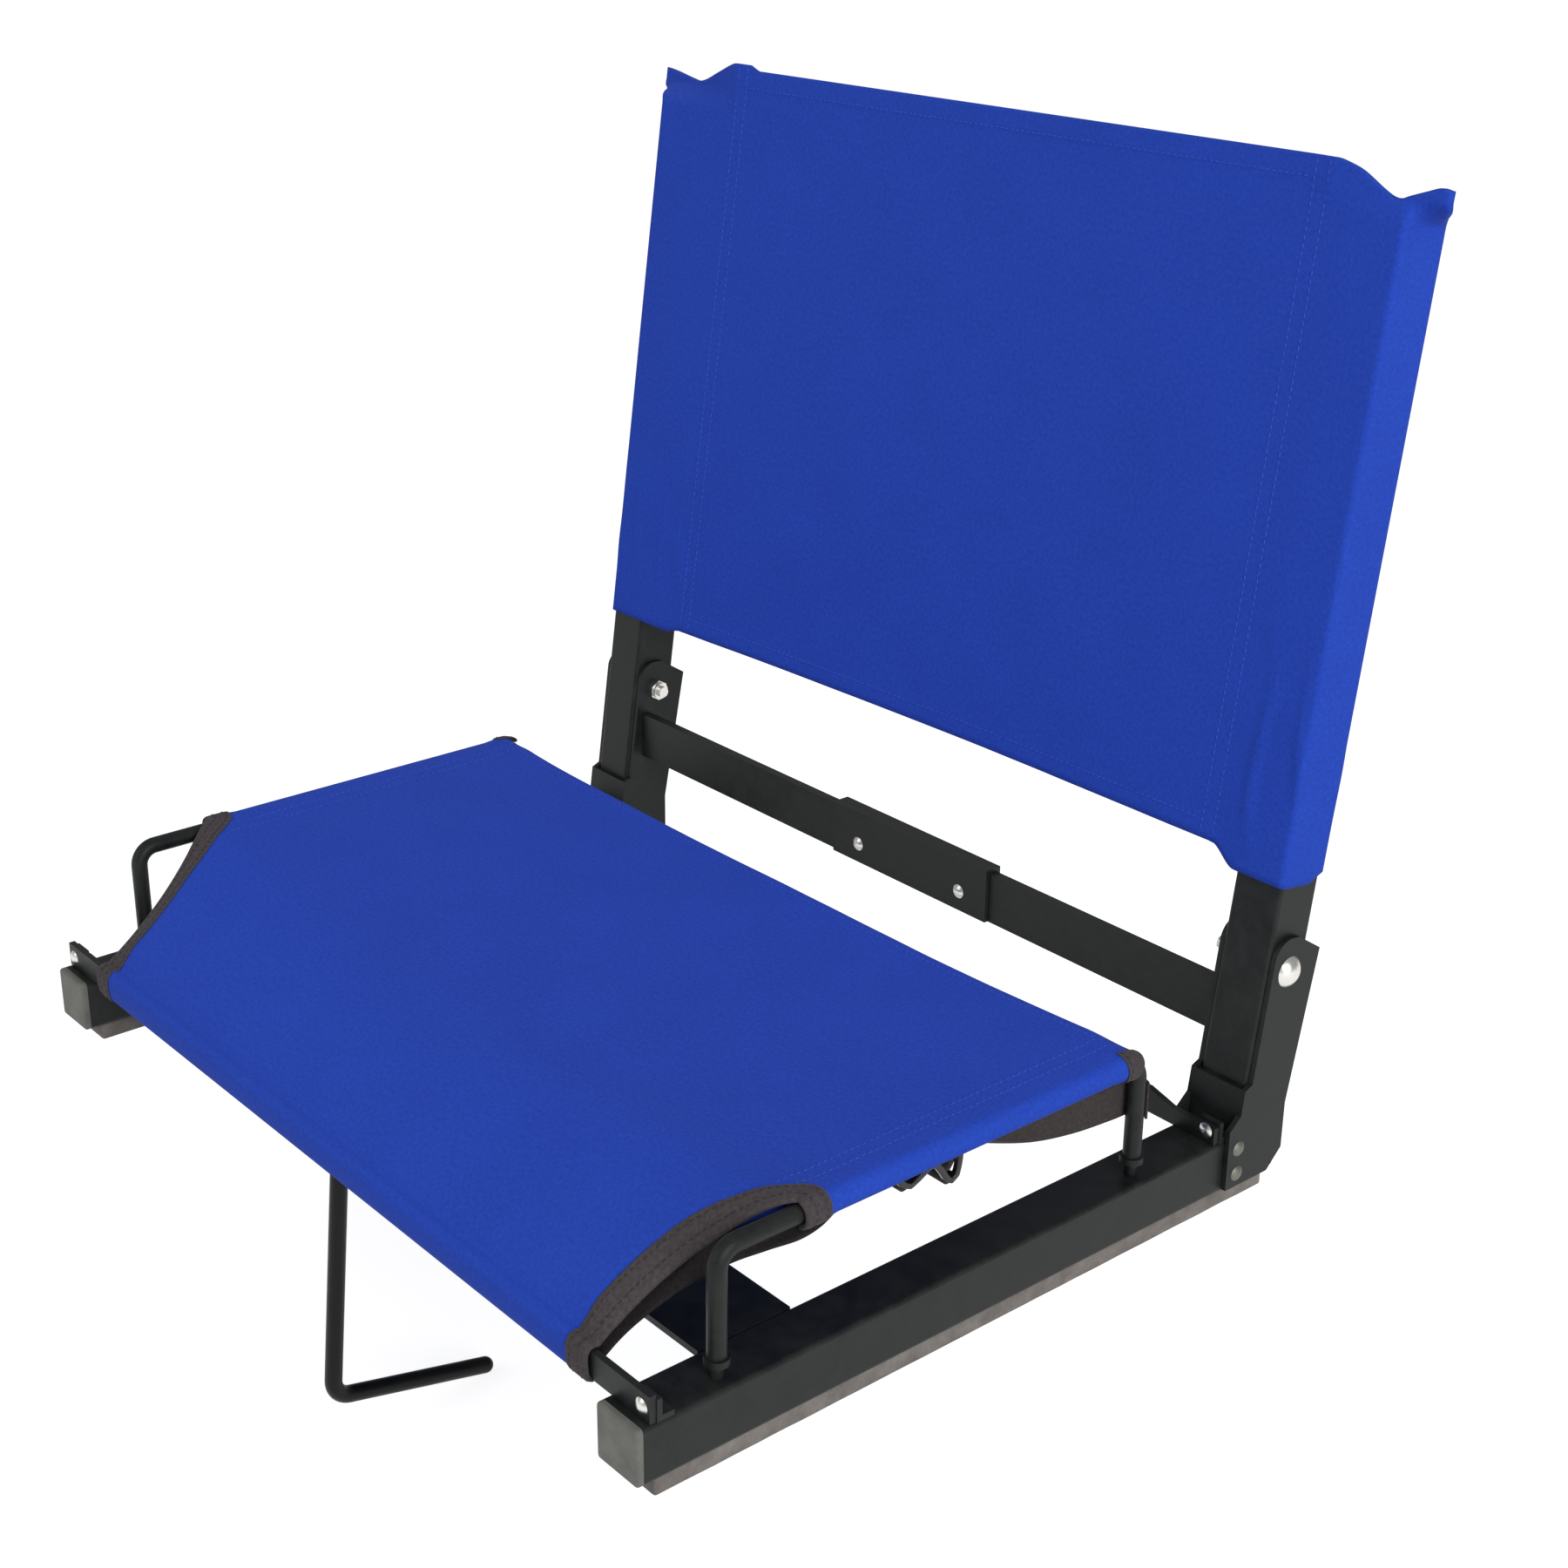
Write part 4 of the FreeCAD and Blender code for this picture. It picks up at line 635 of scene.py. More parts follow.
# Rows of the seat's grid: the turned-under layer, the hem, the slope, the level part, the rear edge
UNDER_START = 0.02
UNDER_END = 1.3
UNDER_ROWS = [("under", UNDER_END - (UNDER_END - UNDER_START) * step / 40) for step in range(41)]
HEM_ROWS = [("hem", step) for step in reversed(range(len(HEM)))]
SLOPE_ROWS = [("slope", step / 36) for step in range(36)]
LEVEL_ROWS = [
    ("level", MOUTH_FRONT + (BEND_START - MOUTH_FRONT) * step / 66) for step in range(67)]
REAR_ROWS = [("rear", step / 5) for step in range(1, 6)]
SEAT_ROWS = UNDER_ROWS + HEM_ROWS + SLOPE_ROWS + LEVEL_ROWS + REAR_ROWS
# Its columns: a sleeve at each side, whose first steps are the flap, and the panel between them
WRAP_STEPS = 20
FLAP_STEPS = 7
PINCH_STEP = 3
PANEL_STEPS = 132
SEAT_COLUMNS = PANEL_STEPS + 2 * WRAP_STEPS
# Where the flap touches the rod, in degrees from its outer side
FLAP_TOUCH = -112.0
# The panel bends to meet a sleeve over this width
JOIN_WIDTH = 12.0
# The rear edge: its place, how much further back its right side lies, and its corners
REAR_EDGE = 84.3
REAR_SKEW = 1.6
REAR_CORNERS = 4.4
REAR_TUCK = 2.0
# Width of the turned-under strips that run on beside the cut-outs
UNDER_STRIP = 27


def rear_edge(x):
    """How far back the cloth reaches: least at the middle left, most over the right rod."""
    side = x / ROD_X
    return REAR_EDGE + REAR_SKEW * side + REAR_CORNERS * abs(side) ** 8


def panel_share(column):
    """Place across the panel, from minus one at its left side to one at its right."""
    return (column - WRAP_STEPS) / PANEL_STEPS * 2 - 1


def sleeve_point(side, step, y):
    """The sleeve from its sewn flap under the seat, out beneath the rod and over to its top."""
    if step < FLAP_STEPS:
        centre = rod_frame(y)[0]
        sewn = min(y, BEND_START)
        fall = centre.z - ROD_Z - CLOTH - 0.1
        flap = Vector((side * FLAP_X, centre.y, seat_height(FLAP_X, sewn) + fall))
        pinch = Vector((side * PINCH_X, centre.y, seat_height(PINCH_X, sewn) + fall))
        if step <= PINCH_STEP:
            return flap.lerp(pinch, step / PINCH_STEP)
        touch = around_rod(side, FLAP_TOUCH, y)
        return pinch.lerp(touch, (step - PINCH_STEP) / (FLAP_STEPS - PINCH_STEP))
    end = 90 + contact_angle(min(y, BEND_START))
    share = (step - FLAP_STEPS) / (WRAP_STEPS - FLAP_STEPS)
    return around_rod(side, FLAP_TOUCH + (end - FLAP_TOUCH) * share, y)


def seat_point(column, row):
    """A place of the seat's grid."""
    kind, at = SEAT_ROWS[row]
    along = MOUTH_FRONT
    if kind == "level":
        along = at
    elif kind == "rear":
        along = BEND_START + (MOUTH_REAR - BEND_START) * at
    if column < WRAP_STEPS:
        return sleeve_point(LEFT, column, along)
    if column > SEAT_COLUMNS - WRAP_STEPS:
        return sleeve_point(RIGHT, SEAT_COLUMNS - column, along)
    share = panel_share(column)
    if kind == "hem":
        return hem_skin(share * FRONT_HALF, at)
    if kind == "under":
        return under_skin(share * under_half(at, share), slope_y(at))
    if kind == "slope":
        return seat_skin(share * front_half(at), slope_y(at))
    y = min(along, BEND_START)
    turn = math.radians(contact_angle(y))
    reach = WRAP + flare(y)
    half = ROD_X - reach * math.sin(turn)
    x = share * half
    near = ease((abs(x) - half + JOIN_WIDTH) / JOIN_WIDTH)
    joined = near * (ROD_Z + reach * math.cos(turn) - seat_height(half, y))
    if kind == "rear":
        y = BEND_START + (rear_edge(x) - BEND_START) * at
        joined -= REAR_TUCK * at ** 2 * ease((abs(x) - 205) / 25)
    return Vector((x, y, seat_height(x, y) + joined))


seat_cloth = cloth_grid("seat_cloth", [
    [seat_point(column, row) for column in range(SEAT_COLUMNS + 1)]
    for row in range(len(SEAT_ROWS))])


def off_pattern(face):
    """Faces outside the cut cloth: beside the cut-outs, and between the two turned-under sides."""
    row, column = divmod(face.index, SEAT_COLUMNS)
    kind, at = SEAT_ROWS[row]
    if not WRAP_STEPS <= column < SEAT_COLUMNS - WRAP_STEPS:
        return kind not in ("level", "rear")
    if kind == "under" and at > 0.5:
        share = panel_share(column + 0.5)
        return (1 - abs(share)) * under_half(at, share) > UNDER_STRIP
    return False


drop_faces(seat_cloth, off_pattern)
SEAT_CUT = flat_size(seat_cloth)
thicken(seat_cloth, CLOTH)
finish_piece(seat_cloth, blue_cloth, "blue_cloth", "base", "seat_sling")

# Binding tape, folded over each bound edge: inset from the edge, and height over the cloth
TAPE = 0.6
FOLD = [
    (11.2, 0.92), (10.6, 0.97), (9.0, 0.98), (5.0, 0.98), (1.2, 0.95), (0.0, 0.88), (-0.6, 0.6),
    (-0.9, 0.0), (-0.6, -0.6), (0.0, -0.88), (1.2, -0.95), (4.0, -0.95), (8.0, -0.95),
]
# Share of the way to the rods at which the lower tape ends
UNDER_TAPE_END = 1.29
# The rear tape runs forward from its mouth, and is a little narrower
REAR_TAPE_PULL = -0.75
# Where a mouth's tape starts and ends, in degrees from the rod's outer side
REAR_TAPE_START = 104
MOUTH_TAPE_END = -80


def folded_tape(name, stations, tape_material, *replaced):
    """Tape along a bound edge; each station gives a point for an inset and a height."""
    tape = cloth_grid(name, [[station(*place) for place in FOLD] for station in stations])
    thicken(tape, TAPE)
    return finish_piece(tape, tape_material, "binding_tape", "base", *replaced)


def edge_station(skin, side, half, y, lean):
    """A station on a side edge of the seat that runs back and outward at an angle."""
    def station(inset, lift):
        x = half - inset * math.cos(lean)
        return skin(side * x, y + inset * math.sin(lean), lift)
    return station


def hem_station(side, step):
    return lambda inset, lift: hem_skin(side * (FRONT_HALF - inset), step, lift)


def mouth_station(side, angle, y, pull):
    """A station round a sleeve's mouth, its insets multiplied by the pull."""
    return lambda inset, lift: around_rod(side, angle, y + pull * inset, lift)


def edge_lean(half, before, after):
    """Angle of a side edge between two shares of the slope, from its half widths."""
    return math.atan((half(after) - half(before)) / (slope_y(after) - slope_y(before)))


def cut_out_stations(side):
    """Up round the hem, along the cut-out, and on round the mouth of the sleeve."""
    stations = [hem_station(side, step) for step in reversed(range(len(HEM) - 1))]
    for step in range(33):
        share = step / 32
        lean = edge_lean(front_half, max(0.0, share - 0.01), min(1.0, share + 0.01))
        stations.append(edge_station(seat_skin, side, front_half(share), slope_y(share), lean))
    last = lean
    for step in range(1, 6):
        lean = last + (math.pi / 2 - last) * step / 5
        stations.append(edge_station(seat_skin, side, ROD_X, MOUTH_FRONT, lean))
    for step in range(1, 17):
        angle = 90 + (MOUTH_TAPE_END - 90) * step / 16
        stations.append(mouth_station(side, angle, MOUTH_FRONT, 1))
    return stations


def under_stations(side):
    """Along the lower layer's edge, from the hem's rear to beneath the sleeve's mouth."""
    stations = []
    for step in range(40):
        share = UNDER_START + (UNDER_TAPE_END - UNDER_START) * step / 39
        lean = edge_lean(lambda place: under_half(place, side), share - 0.01, share + 0.01)
        stations.append(
            edge_station(under_skin, side, under_half(share, side), slope_y(share), lean))
    return stations


def rear_mouth_stations(side):
    """From a little inward of the rod's top, out and round beneath it."""
    stations = []
    for step in range(19):
        angle = REAR_TAPE_START + (MOUTH_TAPE_END - REAR_TAPE_START) * step / 18
        stations.append(mouth_station(side, angle, MOUTH_REAR, REAR_TAPE_PULL))
    return stations


seat_trim = []
for side, name in ((LEFT, "left"), (RIGHT, "right")):
    seat_trim += [
        folded_tape(
            f"seat_binding_upper_{name}", cut_out_stations(side), binding_tape,
            f"seat_binding_{name}"),
        folded_tape(f"seat_binding_lower_{name}", under_stations(side), painted_shade_tape),
        folded_tape(f"sleeve_mouth_tape_{name}", rear_mouth_stations(side), binding_tape),
    ]

# Back cloth: a pocket over each upright, pinched flat above the tube's cap, and a bowed panel

PIVOT = Vector((0, 174.0, 109.0))
LEAN = math.radians(-8)
TUBE_HALF = 12.7
TUBE_X = 227.0
TUBE_TOP = 317.5
BACK_TOP = 340.7
SEAMS = {LEFT: -180.0, RIGHT: 201.0}
SEAM_SPAN = SEAMS[RIGHT] - SEAMS[LEFT]
# Height of each pocket's lower edge at its outer side and at its seam
FEET = {LEFT: (40.0, 43.0), RIGHT: (39.5, 47.6)}
# Where each pocket's mouth is pinched to, sideways and in depth
EARS = {LEFT: (-259.5, 3.0), RIGHT: (256.5, -9.5)}
# How far an ear stands out half-way between the tube's cap and the pinched mouth
EAR_FLARE = {LEFT: 6.0, RIGHT: 2.0}
SEAM_DEPTH = -13.0
# How far the panel bows to the rear, and its lower edge upward
BACK_BOW = 2.0
FOOT_BOW = 1.2
CORNER = 2.2
# The hems above and below the panel stand forward by this, and are this wide
HEM_RAISE = 0.35
HEM_WIDTH = 8.5
# Folds where a pocket's cloth hangs slack beside the tube: their depth in front
SLACK = {LEFT: 0.4, RIGHT: 0.9}
# Half the gap between a pinched pocket's two layers
PINCH_HALF = 0.62
# Height of the pocket's top over the panel's, from its seam to its outer ear
MOUTH_LINE = {
    LEFT: (
        (0.0, 2.4), (0.06, 1.9), (0.25, -3.4), (0.41, -8.0), (0.51, -9.3), (0.64, -8.4),
        (0.86, -6.2), (1.0, -5.2)),
    RIGHT: (
        (0.0, -0.1), (0.06, -0.5), (0.24, -3.5), (0.43, -9.2), (0.56, -12.8), (0.7, -10.2),
        (0.82, -7.8), (0.92, -6.0), (1.0, -6.6)),
}


def pocket_path(side):
    """Round an upright, from the seam behind it, out, forward and back to the seam."""
    around = TUBE_HALF + STAND_OFF
    near = side * (TUBE_X - around)
    far = side * (TUBE_X + around)
    seam = SEAMS[side]
    return [
        Vector((seam, SEAM_DEPTH + CLOTH)), Vector((near, around)), Vector((far, around)),
        Vector((far, -around)), Vector((near, -around)), Vector((seam, SEAM_DEPTH)),
    ]


def spread(path, count):
    """Evenly spaced places along a path with rounded corners."""
    rounded = [path[0]]
    for before, here, after in zip(path, path[1:], path[2:]):
        cut = min(CORNER, (here - before).length / 3, (after - here).length / 3)
        start = here + (before - here).normalized() * cut
        end = here + (after - here).normalized() * cut
        for step in range(5):
            share = step / 4
            rounded.append(start.lerp(here, share).lerp(here.lerp(end, share), share))
    rounded.append(path[-1])
    lengths = lengths_along(rounded)
    places = []
    leg = 0
    for step in range(count + 1):
        target = lengths[-1] * step / count
        while leg < len(lengths) - 2 and lengths[leg + 1] < target:
            leg += 1
        span = lengths[leg + 1] - lengths[leg]
        share = (target - lengths[leg]) / span if span else 0
        places.append(rounded[leg].lerp(rounded[leg + 1], share))
    return places


def leaned(x, depth, along):
    """A point of the upright drawing, turned back about the pivots."""
    return Vector((
        x,
        PIVOT.y + depth * math.cos(LEAN) - along * math.sin(LEAN),
        PIVOT.z + depth * math.sin(LEAN) + along * math.cos(LEAN),
    ))


def panel_foot(x):
    """Height of the panel's lower edge, between the heights of the two seams."""
    share = (x - SEAMS[LEFT]) / SEAM_SPAN
    left, right = FEET[LEFT][1], FEET[RIGHT][1]
    return left + (right - left) * share + FOOT_BOW * math.sin(math.pi * share)


def panel_top(x):
    """Height of the panel's upper edge, which rises into the left seam."""
    at_left = 1 - ease((x - SEAMS[LEFT] - 9) / 7)
    at_right = ease((x - SEAMS[RIGHT] + 9) / 9)
    return BACK_TOP + 2.4 * at_left - 0.1 * at_right


def panel_depth(x, along):
    """Depth of the panel, which bows a little to the rear between its seams."""
    share = (x - SEAMS[LEFT]) / SEAM_SPAN
    bow = BACK_BOW * 4 * share * (1 - share)
    loose = ease(share / 0.1) * ease((1 - share) / 0.1)
    rim = min(along - panel_foot(x), BACK_TOP - along)
    hem = HEM_RAISE * (1 - ease((rim - HEM_WIDTH) / 1.5))
    return SEAM_DEPTH + bow + loose * ripples(x, along, BACK_RIPPLES) - hem


POCKET_STEPS = 90
BACK_PANEL_STEPS = 120
POCKETS = {side: spread(pocket_path(side), POCKET_STEPS) for side in (LEFT, RIGHT)}
BACK_COLUMNS = (
    [(LEFT, step) for step in range(POCKET_STEPS + 1)]
    + [(0, step) for step in range(1, BACK_PANEL_STEPS)]
    + [(RIGHT, step) for step in reversed(range(POCKET_STEPS + 1))])
# Rows lie closer in the pinched part, above this share of the height
PINCHED_FROM = 0.88
BACK_ROWS = [PINCHED_FROM * step / 76 for step in range(76)]
BACK_ROWS += [PINCHED_FROM + (1 - PINCHED_FROM) * step / 24 for step in range(25)]


def pocket_point(side, step, row_share):
    """A place of a pocket: round its tube, and drawn to a flat ear over the tube's cap."""
    spot = POCKETS[side][step]
    x = spot.x
    from_seam = side * x - abs(SEAMS[side])
    half_way = POCKET_STEPS / 2
    out = 1 - abs(step - half_way) / half_way
    front = step > half_way
    foot_outer, foot_inner = FEET[side]
    inner = ease((from_seam + 2) / 15)
    foot = foot_inner + (foot_outer - foot_inner) * inner + 4.5 * inner * ease((spot.y - 3) / 10)
    top = BACK_TOP + read_line(MOUTH_LINE[side], out)
    along = foot + (top - foot) * row_share
    slack = ease(from_seam / 6) * ease((along - foot) / 40) * ease((165 - along) / 90)
    wave = math.sin(x * 0.3 + along * 0.06 + 4.5 * drift(x * 2, along, 70, 6))
    crease = slack * max(0.0, wave) ** 2 * SLACK[side]
    depth = spot.y + (-crease if front else 0.5 * crease)
    ear_x, ear_depth = EARS[side]
    flat_x = SEAMS[side] + (ear_x - SEAMS[side]) * out
    flat_depth = SEAM_DEPTH + (ear_depth - SEAM_DEPTH) * out
    flat_depth += -PINCH_HALF if front else PINCH_HALF
    gather = ease((along - TUBE_TOP - 1.2) / 11)
    x += (flat_x - x) * gather + side * EAR_FLARE[side] * out * 4 * gather * (1 - gather)
    depth += (flat_depth - depth) * gather
    return leaned(x, depth, along)


def back_point(column, row_share):
    """A place of the back's grid."""
    side, step = BACK_COLUMNS[column]
    if side:
        return pocket_point(side, step, row_share)
    x = SEAMS[LEFT] + SEAM_SPAN * step / BACK_PANEL_STEPS
    along = panel_foot(x) + (panel_top(x) - panel_foot(x)) * row_share
    return leaned(x, panel_depth(x, along), along)


back_cloth = cloth_grid("back_cloth", [
    [back_point(column, row_share) for column in range(len(BACK_COLUMNS))]
    for row_share in BACK_ROWS])
BACK_CUT = flat_size(back_cloth)
thicken(back_cloth, CLOTH)
finish_piece(back_cloth, blue_cloth, "blue_cloth", "back", "back_sling")

# Sewing: one stitch, copied along each row

THREAD_RADIUS = 0.27
STITCH = 1.3
STITCH_END = 0.6
STITCH_DIP = 0.3


def tapered_stitch():
    """One stitch: a length of thread whose ends narrow and dip into the cloth."""
    bpy.ops.mesh.primitive_cylinder_add(vertices=6, radius=THREAD_RADIUS * MM, depth=STITCH * MM)
    stitch = bpy.context.object
    set_mode("EDIT")
    for end in (1, -1):
        bpy.ops.mesh.select_all(action="DESELECT")
        set_mode("OBJECT")
        for face in stitch.data.polygons:
            face.select = face.normal.z * end > 0.9
        set_mode("EDIT")
        bpy.ops.mesh.extrude_region_move(
            TRANSFORM_OT_translate={"value": (0, 0, end * STITCH_END * MM)})
        bpy.ops.transform.resize(value=(0.3, 0.3, 1))
        bpy.ops.transform.translate(value=(STITCH_DIP * MM, 0, 0))
    set_mode("OBJECT")
    return stitch


def sewn_rows(name, rows, material, slot, body, spacing=3.4):
    """Stitches laid end to end along rows of places, each place with the way out of the cloth."""
    stitch = tapered_stitch()
    copies = []
    for row in rows:
        gone = 0.0
        due = spacing / 2
        for (here, out), (after, _) in zip(row, row[1:]):
            span = (after - here).length
            while span and gone + span >= due:
                place = here.lerp(after, (due - gone) / span)
                along = (after - here).normalized()
                side = along.cross(out).normalized()
                lifted = side.cross(along)
                turn = Matrix((-lifted, side, along)).transposed().to_4x4()
                copy = new_object(name, stitch.data.copy())
                copy.data.transform(Matrix.Translation(place * MM) @ turn)
                copies.append(copy)
                due += spacing
            gone += span
    bpy.data.objects.remove(stitch)
    bpy.ops.object.select_all(action="DESELECT")
    for copy in copies:
        copy.select_set(True)
    bpy.context.view_layer.objects.active = copies[0]
    bpy.ops.object.join()
    piece = bpy.context.object
    piece.name = name
    bpy.ops.object.shade_smooth()
    return finish_piece(piece, material, slot, body)


def thread_row(pairs):
    """Places for stitches with the way out of the cloth, from pairs of a low and a raised point."""
    return [(raised, (raised - low).normalized()) for low, raised in pairs]


# Heights over the cloth's middle: a thread on it, the tape's upper layer, a thread on the tape
SKIN = CLOTH / 2 + 0.08
TAPE_BASE = 0.9
TAPE_SKIN = 1.34
# Insets of the rows of stitches from the tape's edge
TAPE_SEAMS = (9.0, 3.4)
REAR_TAPE_SEAM = 8.8


def seat_row(places):
    """A row on the seat's upper face."""
    return thread_row((seat_skin(x, y), seat_skin(x, y, SKIN)) for x, y in places)


def tape_row(stations, inset):
    """A row along a tape, at an inset from its edge."""
    return thread_row(
        (station(inset, TAPE_BASE), station(inset, TAPE_SKIN)) for station in stations)


def back_row(places):
    """A row on the front of the back panel."""
    return thread_row(
        (leaned(x, panel_depth(x, along), along), leaned(x, panel_depth(x, along) - SKIN, along))
        for x, along in places)


seat_rows = []
for side in (LEFT, RIGHT):
    for x in (PINCH_X - 1.0, PINCH_X - 8.0):
        seat_rows.append(seat_row([(side * x, y) for y in range(-93, 84, 2)]))
seat_rows.append(seat_row([(x, rear_edge(x) - 4.0) for x in range(-212, 213, 2)]))
seat_trim.append(sewn_rows("seat_stitching", seat_rows, blue_thread, "blue_cloth", "base"))

tape_rows = []
for side in (LEFT, RIGHT):
    tape_rows += [tape_row(cut_out_stations(side), inset) for inset in TAPE_SEAMS]
    tape_rows.append(tape_row(rear_mouth_stations(side), REAR_TAPE_SEAM))
seat_trim.append(
    sewn_rows("binding_stitching", tape_rows, dark_thread, "binding_tape", "base", 3.2))

back_rows = []
for x in (SEAMS[LEFT] + 1.2, SEAMS[LEFT] + 8.0, SEAMS[RIGHT] - 1.5, SEAMS[RIGHT] - 8.5):
    low, high = panel_foot(x) + 3, panel_top(x) - 2
    back_rows.append(back_row([(x, low + (high - low) * step / 90) for step in range(91)]))
across = [SEAMS[LEFT] + 9 + (SEAM_SPAN - 19) * step / 110 for step in range(111)]
back_rows.append(back_row([(x, BACK_TOP - 9.0) for x in across]))
back_rows.append(back_row([(x, panel_foot(x) + HEM_WIDTH) for x in across]))
back_stitching = sewn_rows("back_stitching", back_rows, blue_thread, "blue_cloth", "back")

# Closure strap: webbing from behind the right rod's rear leg, along under the seat to a buckle

STRAP_WIDTH = 17.0
STRAP_THICK = 1.2
# Height of the strap where it passes behind the leg
LEG_HIGH = 69.8
buckle_low, buckle_high = corners("strap_buckle")
BUCKLE_X = (buckle_low.x + buckle_high.x) / 2
# Ways across the webbing
UPRIGHT = (0, 0, 1)
FLAT = (1, 0, 0)
# The buckle's frame from the side: places along it and heights of its wavy rails, front to rear
BUCKLE_PROFILE = [
    (-37.6, 77.6), (-35.4, 74.4), (-31.2, 72.7), (-26.4, 74.6), (-21.6, 77.4), (-18.0, 77.4),
    (-14.6, 73.6), (-11.4, 68.0), (-8.6, 66.4), (-5.8, 68.2), (-4.6, 72.8), (-4.2, 77.2),
]
# Its grid across from rail to rail, and the rows of the profile that are open between them
BUCKLE_ACROSS = (-11.2, -8.4, -4.2, 0.0, 4.2, 8.4, 11.2)
WINDOW_ROWS = (3, 5, 6, 9, 10)
BUCKLE_THICK = 3.0
FRONT_BAR = Vector((BUCKLE_X, -33.2, 73.5))
REAR_BAR = Vector((BUCKLE_X, -8.9, 67.9))


def smooth(points, steps):
    """A smooth run through points, each a place and a width direction."""
    run = []
    for index in range(len(points) - 1):
        stops = [points[max(0, min(len(points) - 1, index + shift))] for shift in (-1, 0, 1, 2)]
        for step in range(steps):
            share = step / steps
            weights = (
                -0.5 * share + share ** 2 - 0.5 * share ** 3,
                1 - 2.5 * share ** 2 + 1.5 * share ** 3,
                0.5 * share + 2 * share ** 2 - 1.5 * share ** 3,
                -0.5 * share ** 2 + 0.5 * share ** 3,
            )
            place, width = (
                sum((Vector(stop[part]) * weight for stop, weight in zip(stops, weights)), Vector())
                for part in (0, 1))
            run.append((place, width.normalized()))
    run.append((Vector(points[-1][0]), Vector(points[-1][1]).normalized()))
    return run


def round_bar(bar, reach, height, turns):
    """Places round a bar of the buckle, for turns in degrees from its rear."""
    return [
        ((bar.x, bar.y + reach * math.cos(math.radians(turn)),
          bar.z + height * math.sin(math.radians(turn))), FLAT)
        for turn in turns]


def strap_piece(name, run, *nodes):
    """Webbing along a run, ribbed on its own layout."""
    strap = cloth_grid(name, [
        [place + way * (STRAP_WIDTH * (step / 8 - 0.5)) for step in range(9)]
        for place, way in run])
    thicken(strap, STRAP_THICK)
    finish_piece(strap, webbing, "strap_webbing", "base", *nodes)


loop = ROD_RADIUS + PLAY + STRAP_THICK / 2
run = []
for degrees in range(40, 190, 15):
    turned = math.radians(degrees)
    x, y = ROD_X + loop * math.cos(turned), REAR_LEG_Y + loop * math.sin(turned)
    run.append(((x, y, LEG_HIGH), UPRIGHT))
run += [
    ((ROD_X - loop, 82.0, LEG_HIGH + 0.4), UPRIGHT),
    ((ROD_X - loop - 0.6, 60.0, LEG_HIGH + 1.8), (0.06, 0, 1)),
    ((ROD_X - loop - 2.4, 38.0, LEG_HIGH + 4.2), (0.25, 0, 1)),
    ((ROD_X - loop - 6.6, 18.0, LEG_HIGH + 6.6), (0.8, 0, 1)),
    ((BUCKLE_X + 1.0, 6.0, LEG_HIGH + 8.2), (1, 0, 0.4)),
    ((BUCKLE_X, -2.0, LEG_HIGH + 8.6), (1, 0, 0.1)),
]
run += round_bar(REAR_BAR, 2.9, 3.4, range(70, 311, 40))
strap_piece("closure_strap_webbing", smooth(run, 6), "closure_strap")

# Short tab that holds the buckle's front bar to the sleeve's underside
tab_low, tab_high = corners("strap_tab")
tab = [
    ((BUCKLE_X + 1.0, tab_low.y + 0.5, tab_high.z - 3.6), (1, 0, -0.45)),
    ((BUCKLE_X + 0.6, tab_low.y + 5.0, tab_high.z - 5.6), (1, 0, -0.35)),
    ((BUCKLE_X + 0.3, FRONT_BAR.y - 3.4, tab_high.z - 9.6), (1, 0, -0.15)),
]
tab += round_bar(FRONT_BAR, 2.7, 2.9, range(170, 451, 40))
strap_piece("strap_tab_webbing", smooth(tab, 5), "strap_tab")

# A ladder buckle: three bars between two wavy side rails, rounded all over
buckle = cloth_grid("ladder_buckle", [
    [Vector((BUCKLE_X + x, y, z)) for x in BUCKLE_ACROSS] for y, z in BUCKLE_PROFILE])
buckle_columns = len(BUCKLE_ACROSS) - 1
windows = {(row, column) for row in WINDOW_ROWS for column in range(1, buckle_columns - 1)}
drop_faces(buckle, lambda face: divmod(face.index, buckle_columns) in windows)
thicken(buckle, BUCKLE_THICK)
round_edges(buckle, 0.6, 2)
apply_modifier(buckle, "SUBSURF", levels=2, render_levels=2)
only(buckle)
bpy.ops.object.shade_smooth()
finish_piece(buckle, buckle_plastic, "buckle_plastic", "base", "strap_buckle")

# Foam strips under the rails

FOAM_CUTS = 48
FOAM_UNEVEN = 0.25


def foam_strip(name, node):
    """A soft strip with rounded edges, its long faces a little uneven."""
    low, high = corners(node)
    middle = (low + high) / 2
    size = high - low
    bpy.ops.mesh.primitive_cube_add(size=1)
    strip = bpy.context.object
    strip.name = name
    for vertex in strip.data.vertices:
        vertex.co = (middle + vertex.co * size) * MM
    set_mode("EDIT")
    bpy.ops.mesh.select_all(action="SELECT")
    bpy.ops.mesh.subdivide(number_cuts=1)
    set_mode("OBJECT")
    round_edges(strip, 1.6, 3)
    only(strip)
    set_mode("EDIT")
    for step in range(1, FOAM_CUTS):
        place = (low.y + size.y * step / FOAM_CUTS) * MM
        bpy.ops.mesh.select_all(action="SELECT")
        bpy.ops.mesh.bisect(plane_co=(0, place, 0), plane_no=(0, 1, 0))
    set_mode("OBJECT")
    for vertex in strip.data.vertices:
        spot = vertex.co / MM
        outward = 1 if spot.x > middle.x else -1
        if spot.z < high.z - 0.5:
            vertex.co.x += outward * FOAM_UNEVEN * drift(spot.y, spot.z * 3, 16, 8) * MM
    bpy.ops.object.shade_smooth_by_angle(angle=0.9)
    finish_piece(strip, grip_foam, "grip_foam", "base", node)


foam_strip("foam_strip_left", "rail_pad_left")
foam_strip("foam_strip_right", "rail_pad_right")

# Studio: pale floor under the hook, a soft key on the right, weaker lamps in front and above

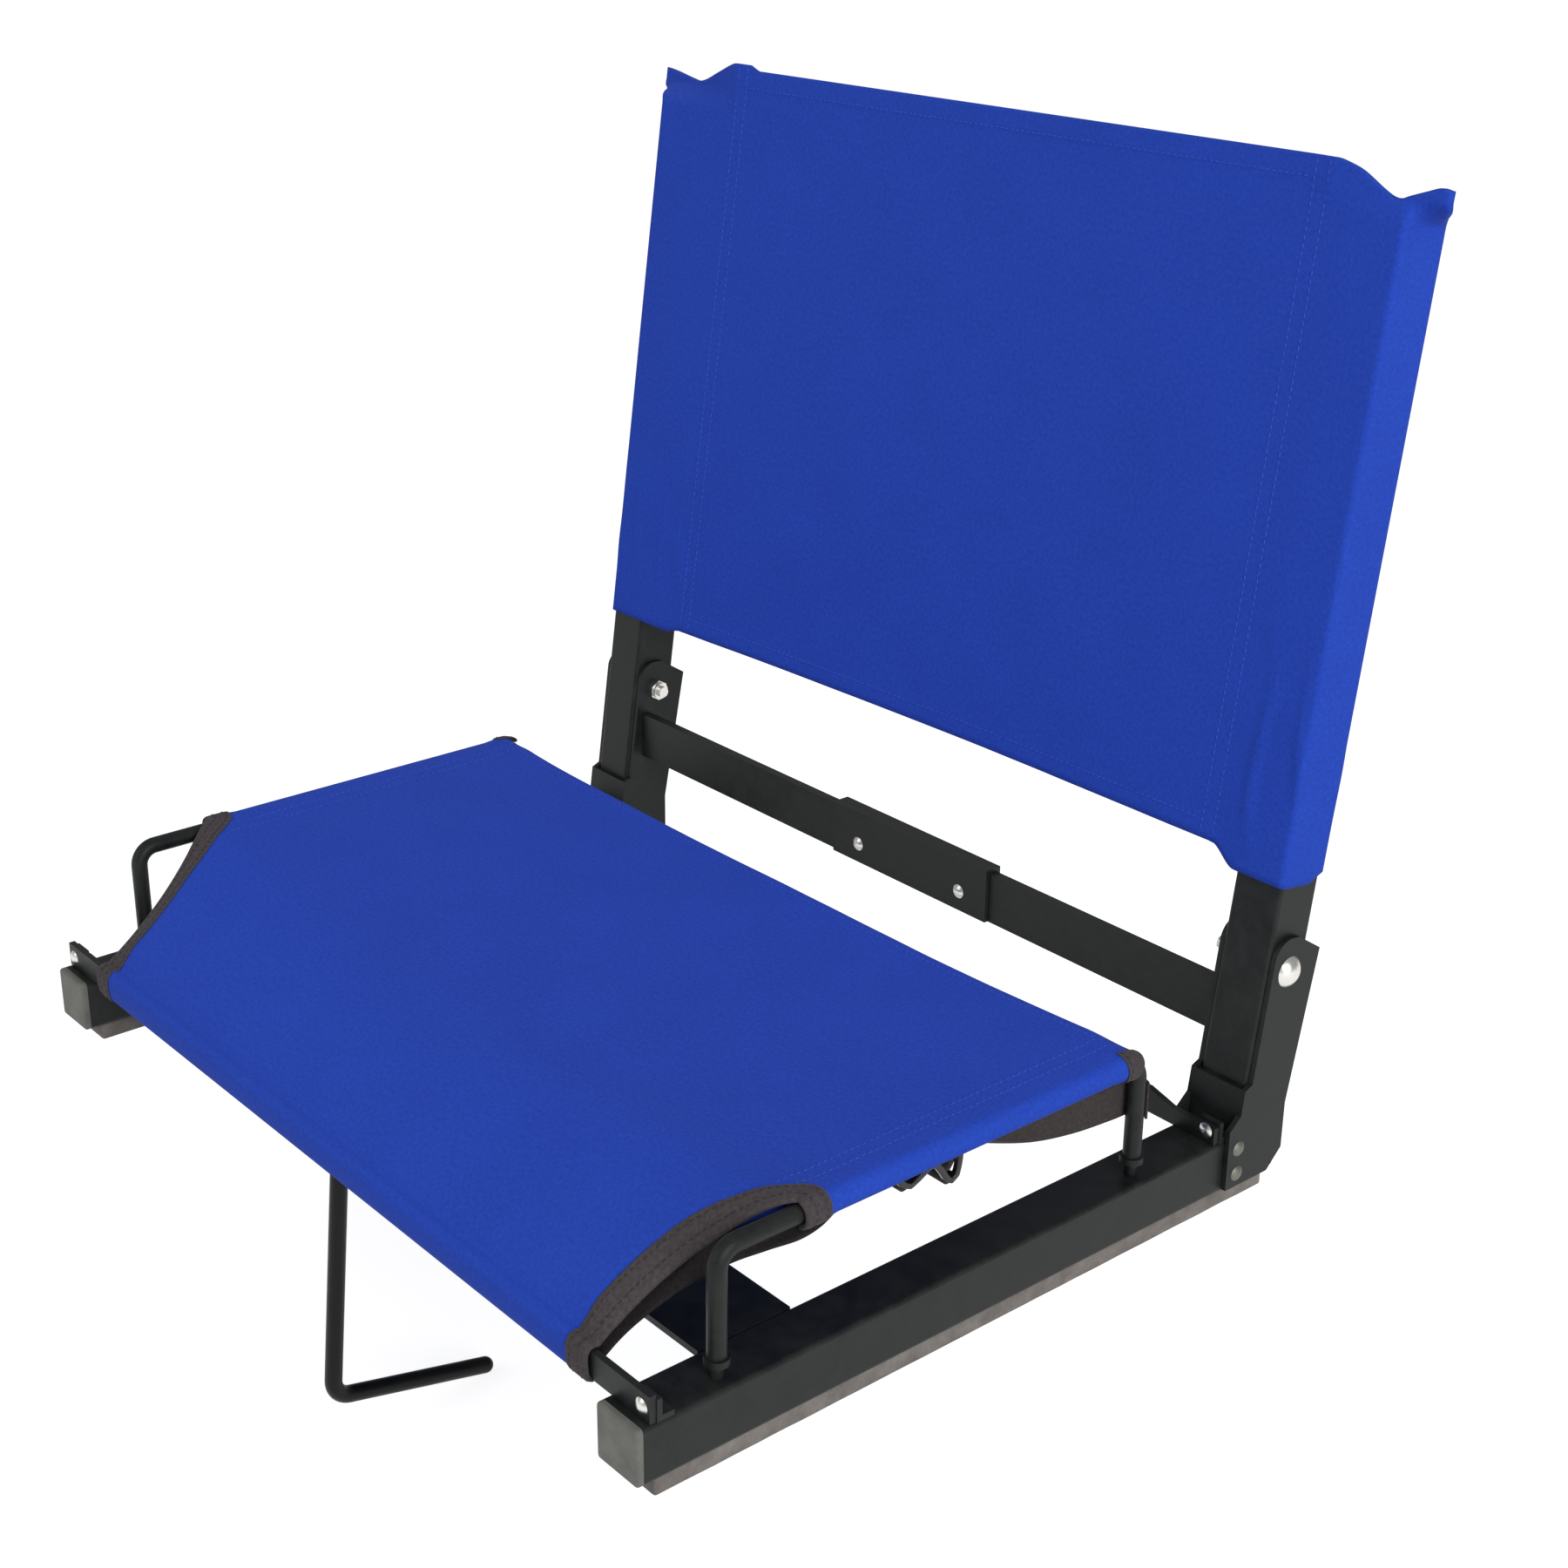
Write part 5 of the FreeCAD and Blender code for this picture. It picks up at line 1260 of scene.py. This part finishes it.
FLOOR_GAP = 0.001
# Brightness of the floor where the camera sees it, and of the light from all round
FLOOR_GLOW = 0.78
ROOM_LIGHT = 0.4
bpy.ops.mesh.primitive_plane_add(size=60, location=(0, 0, cad_low.z - FLOOR_GAP))
floor = bpy.context.object
floor.name = "studio_floor"
# Matt pale studio paper: evenly lit, with no shine
floor_paper, floor_shader = new_material("studio_floor_pale", "D0D0D0", 0.9, 0.0)
ray = add_node(floor_paper, "ShaderNodeLightPath")
seen = ray.outputs["Is Camera Ray"]
for way in ("Is Glossy Ray", "Is Transmission Ray"):
    seen = add_node(
        floor_paper, "ShaderNodeMath", {"operation": "MAXIMUM"},
        {0: seen, 1: ray.outputs[way]}).outputs[0]
glow = add_node(
    floor_paper, "ShaderNodeMath", {"operation": "MULTIPLY", 1: FLOOR_GLOW}, {0: seen})
floor_shader.inputs["Emission Color"].default_value = (1, 1, 1, 1)
link(floor_paper, glow.outputs[0], floor_shader.inputs["Emission Strength"])
floor.data.materials.append(floor_paper)
floor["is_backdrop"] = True

world = bpy.context.scene.world or bpy.data.worlds.new("studio")
bpy.context.scene.world = world
world.use_nodes = True
background = world.node_tree.nodes["Background"]
background.inputs["Color"].default_value = (1, 1, 1, 1)
background.inputs["Strength"].default_value = ROOM_LIGHT


def lamp(name, place, target, side, power):
    """A square area lamp turned to a target, its side in metres and its power in watts."""
    data = bpy.data.lights.new(name, "AREA")
    data.shape = "RECTANGLE"
    data.size = data.size_y = side
    data.energy = power
    item = new_object(name, data)
    item.location = place
    item.rotation_mode = "QUATERNION"
    item.rotation_quaternion = (Vector(target) - Vector(place)).to_track_quat("-Z", "Y")


lamp("key_softbox", (2.7, -0.5, 1.2), (0, 0, 0.15), 1.6, 48)
lamp("front_fill", (-0.8, -2.7, 1.5), (0, 0, 0.2), 1.8, 17)
lamp("top_fill", (0.2, 0.2, 2.8), (0, 0, 0.15), 2.2, 5)

bpy.context.scene.view_settings.view_transform = "Standard"

low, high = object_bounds()
{"cad": [list(cad_low), list(cad_high)], "visual": [list(low), list(high)]}
